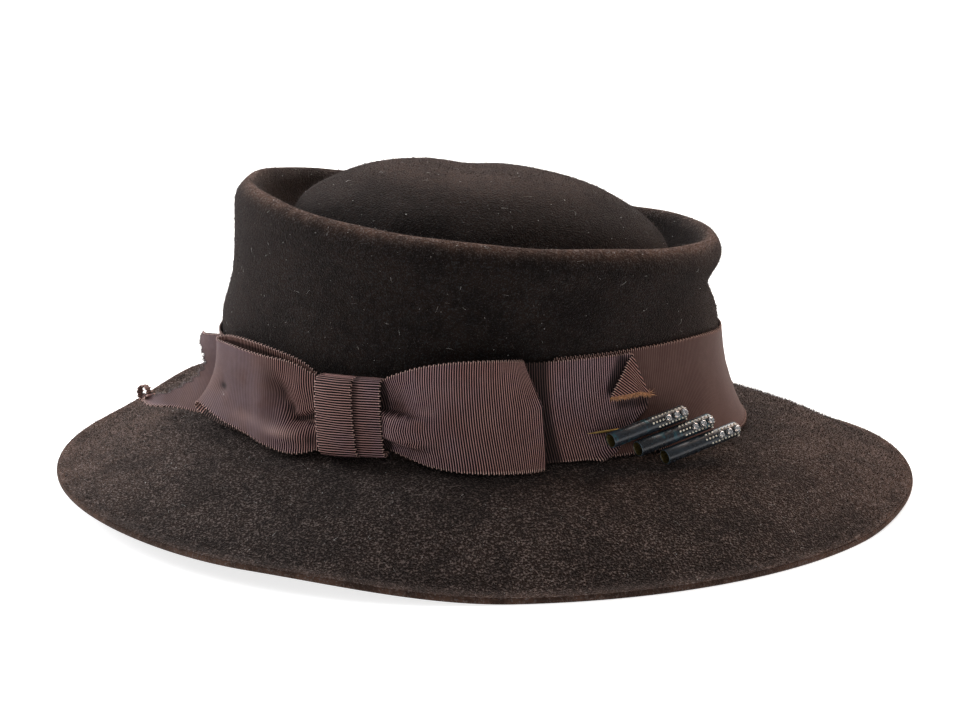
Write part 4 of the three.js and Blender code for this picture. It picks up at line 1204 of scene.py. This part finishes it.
# Lint and loose nap
# Pale dust and short curled hairs that cling to the felt.
LINT_HAIRS = 420
LINT_SPECKS = 900
lint_material = mottled_material(
    "pale_lint", 90.0, 0.5, (0.24, 0.20, 0.18), (0.80, 0.78, 0.75), roughness=0.9, sheen_weight=0.3
)
hair_roots, hair_up, hair_lying = scatter(LINT_HAIRS)
hair_lengths = random.uniform(0.8, 3.0, LINT_HAIRS)
points, faces = strands(
    hair_roots, hair_lying, hair_up * random.uniform(0.05, 0.35, (LINT_HAIRS, 1)), hair_lengths,
    random.uniform(0.025, 0.05, LINT_HAIRS), random.normal(0, 0.6, LINT_HAIRS),
)
make_piece("lint_hairs", points, faces, lint_material, "felt")
speck_roots, speck_up, speck_lying = scatter(LINT_SPECKS)
points, faces = strands(
    speck_roots, speck_lying, speck_up * 0.06, random.uniform(0.12, 0.4, LINT_SPECKS),
    random.uniform(0.05, 0.24, LINT_SPECKS), np.zeros(LINT_SPECKS), stations=3,
)
make_piece("lint_specks", points, faces, lint_material, "felt")


# Floor, light and camera
# A plain pale floor, lit from below like a light table, in soft light from both sides and from above. The
# camera stands nearly a metre in front of the bow, a little above the crown, and looks slightly down.
CAMERA_PLACE = (-0.0017, -0.9115, 0.2794)
LOOK_DOWN, CAMERA_ROLL = 0.25, -0.0062
LENS_MM, SENSOR_MM = 90.94, 36.0
FLOOR_HALF = 4.0

floor_material = mottled_material(
    "pale_floor", 3.0, 0.2, (0.50, 0.50, 0.50), (0.54, 0.54, 0.54),
    roughness=0.8, specular_ior_level=0.1, emission_color=(1, 1, 1, 1), emission_strength=0.78,
)
floor_mesh = bpy.data.meshes.new("floor")
floor_corners = [(x * FLOOR_HALF, y * FLOOR_HALF, 0) for x, y in ((-1, -1), (1, -1), (1, 1), (-1, 1))]
floor_mesh.from_pydata(floor_corners, [], [(0, 1, 2, 3)])
floor_mesh.materials.append(floor_material)
floor = bpy.data.objects.new("floor", floor_mesh)
bpy.context.scene.collection.objects.link(floor)

# place, point that it faces, width and height, power, colour
STUDIO_LIGHTS = [
    ((-1.4, 0.45, 0.85), (0, 0, 0.06), (0.8, 0.9), 29.0, (0.96, 0.98, 1.0)),
    ((1.0, 0.9, 1.35), (0, 0, 0.06), (0.9, 0.9), 25.0, (1.0, 0.70, 0.53)),
    ((0.0, 1.1, 1.5), (0, 0, 0.06), (1.6, 1.2), 27.0, (1, 1, 1)),
    ((0.0, 1.9, 1.6), (0, 1.4, 0), (2.8, 1.2), 40.0, (1, 1, 1)),
    ((0.1, -1.6, 1.3), (0, 0, 0.06), (1.2, 0.8), 2.5, (1, 1, 1)),
]
for number, (place, target, size, power, colour) in enumerate(STUDIO_LIGHTS, start=1):
    light = bpy.data.lights.new(f"softbox_{number}", "AREA")
    light.shape = "RECTANGLE"
    light.size, light.size_y = size
    light.energy, light.color = power, colour
    softbox = bpy.data.objects.new(f"softbox_{number}", light)
    away = np.array(place) - np.array(target)
    right = unit(np.cross([0, 0, 1], away))
    turned = np.stack([right, unit(np.cross(away, right)), unit(away)], axis=-1)
    softbox.matrix_world = Matrix.Translation(place) @ Matrix(turned.tolist()).to_4x4()
    bpy.context.scene.collection.objects.link(softbox)

world = bpy.data.worlds.new("studio")
world.use_nodes = True
world.node_tree.nodes["Background"].inputs["Color"].default_value = (1, 1, 1, 1)
world.node_tree.nodes["Background"].inputs["Strength"].default_value = 0.26
bpy.context.scene.world = world
bpy.context.scene.view_settings.view_transform = "Standard"

camera_data = bpy.data.cameras.new("camera")
camera_data.lens, camera_data.sensor_width = LENS_MM, SENSOR_MM
camera = bpy.data.objects.new("camera", camera_data)
look = Matrix.Rotation(math.pi / 2 - LOOK_DOWN, 4, "X") @ Matrix.Rotation(CAMERA_ROLL, 4, "Z")
camera.matrix_world = Matrix.Translation(CAMERA_PLACE) @ look
bpy.context.scene.collection.objects.link(camera)
bpy.context.scene.camera = camera
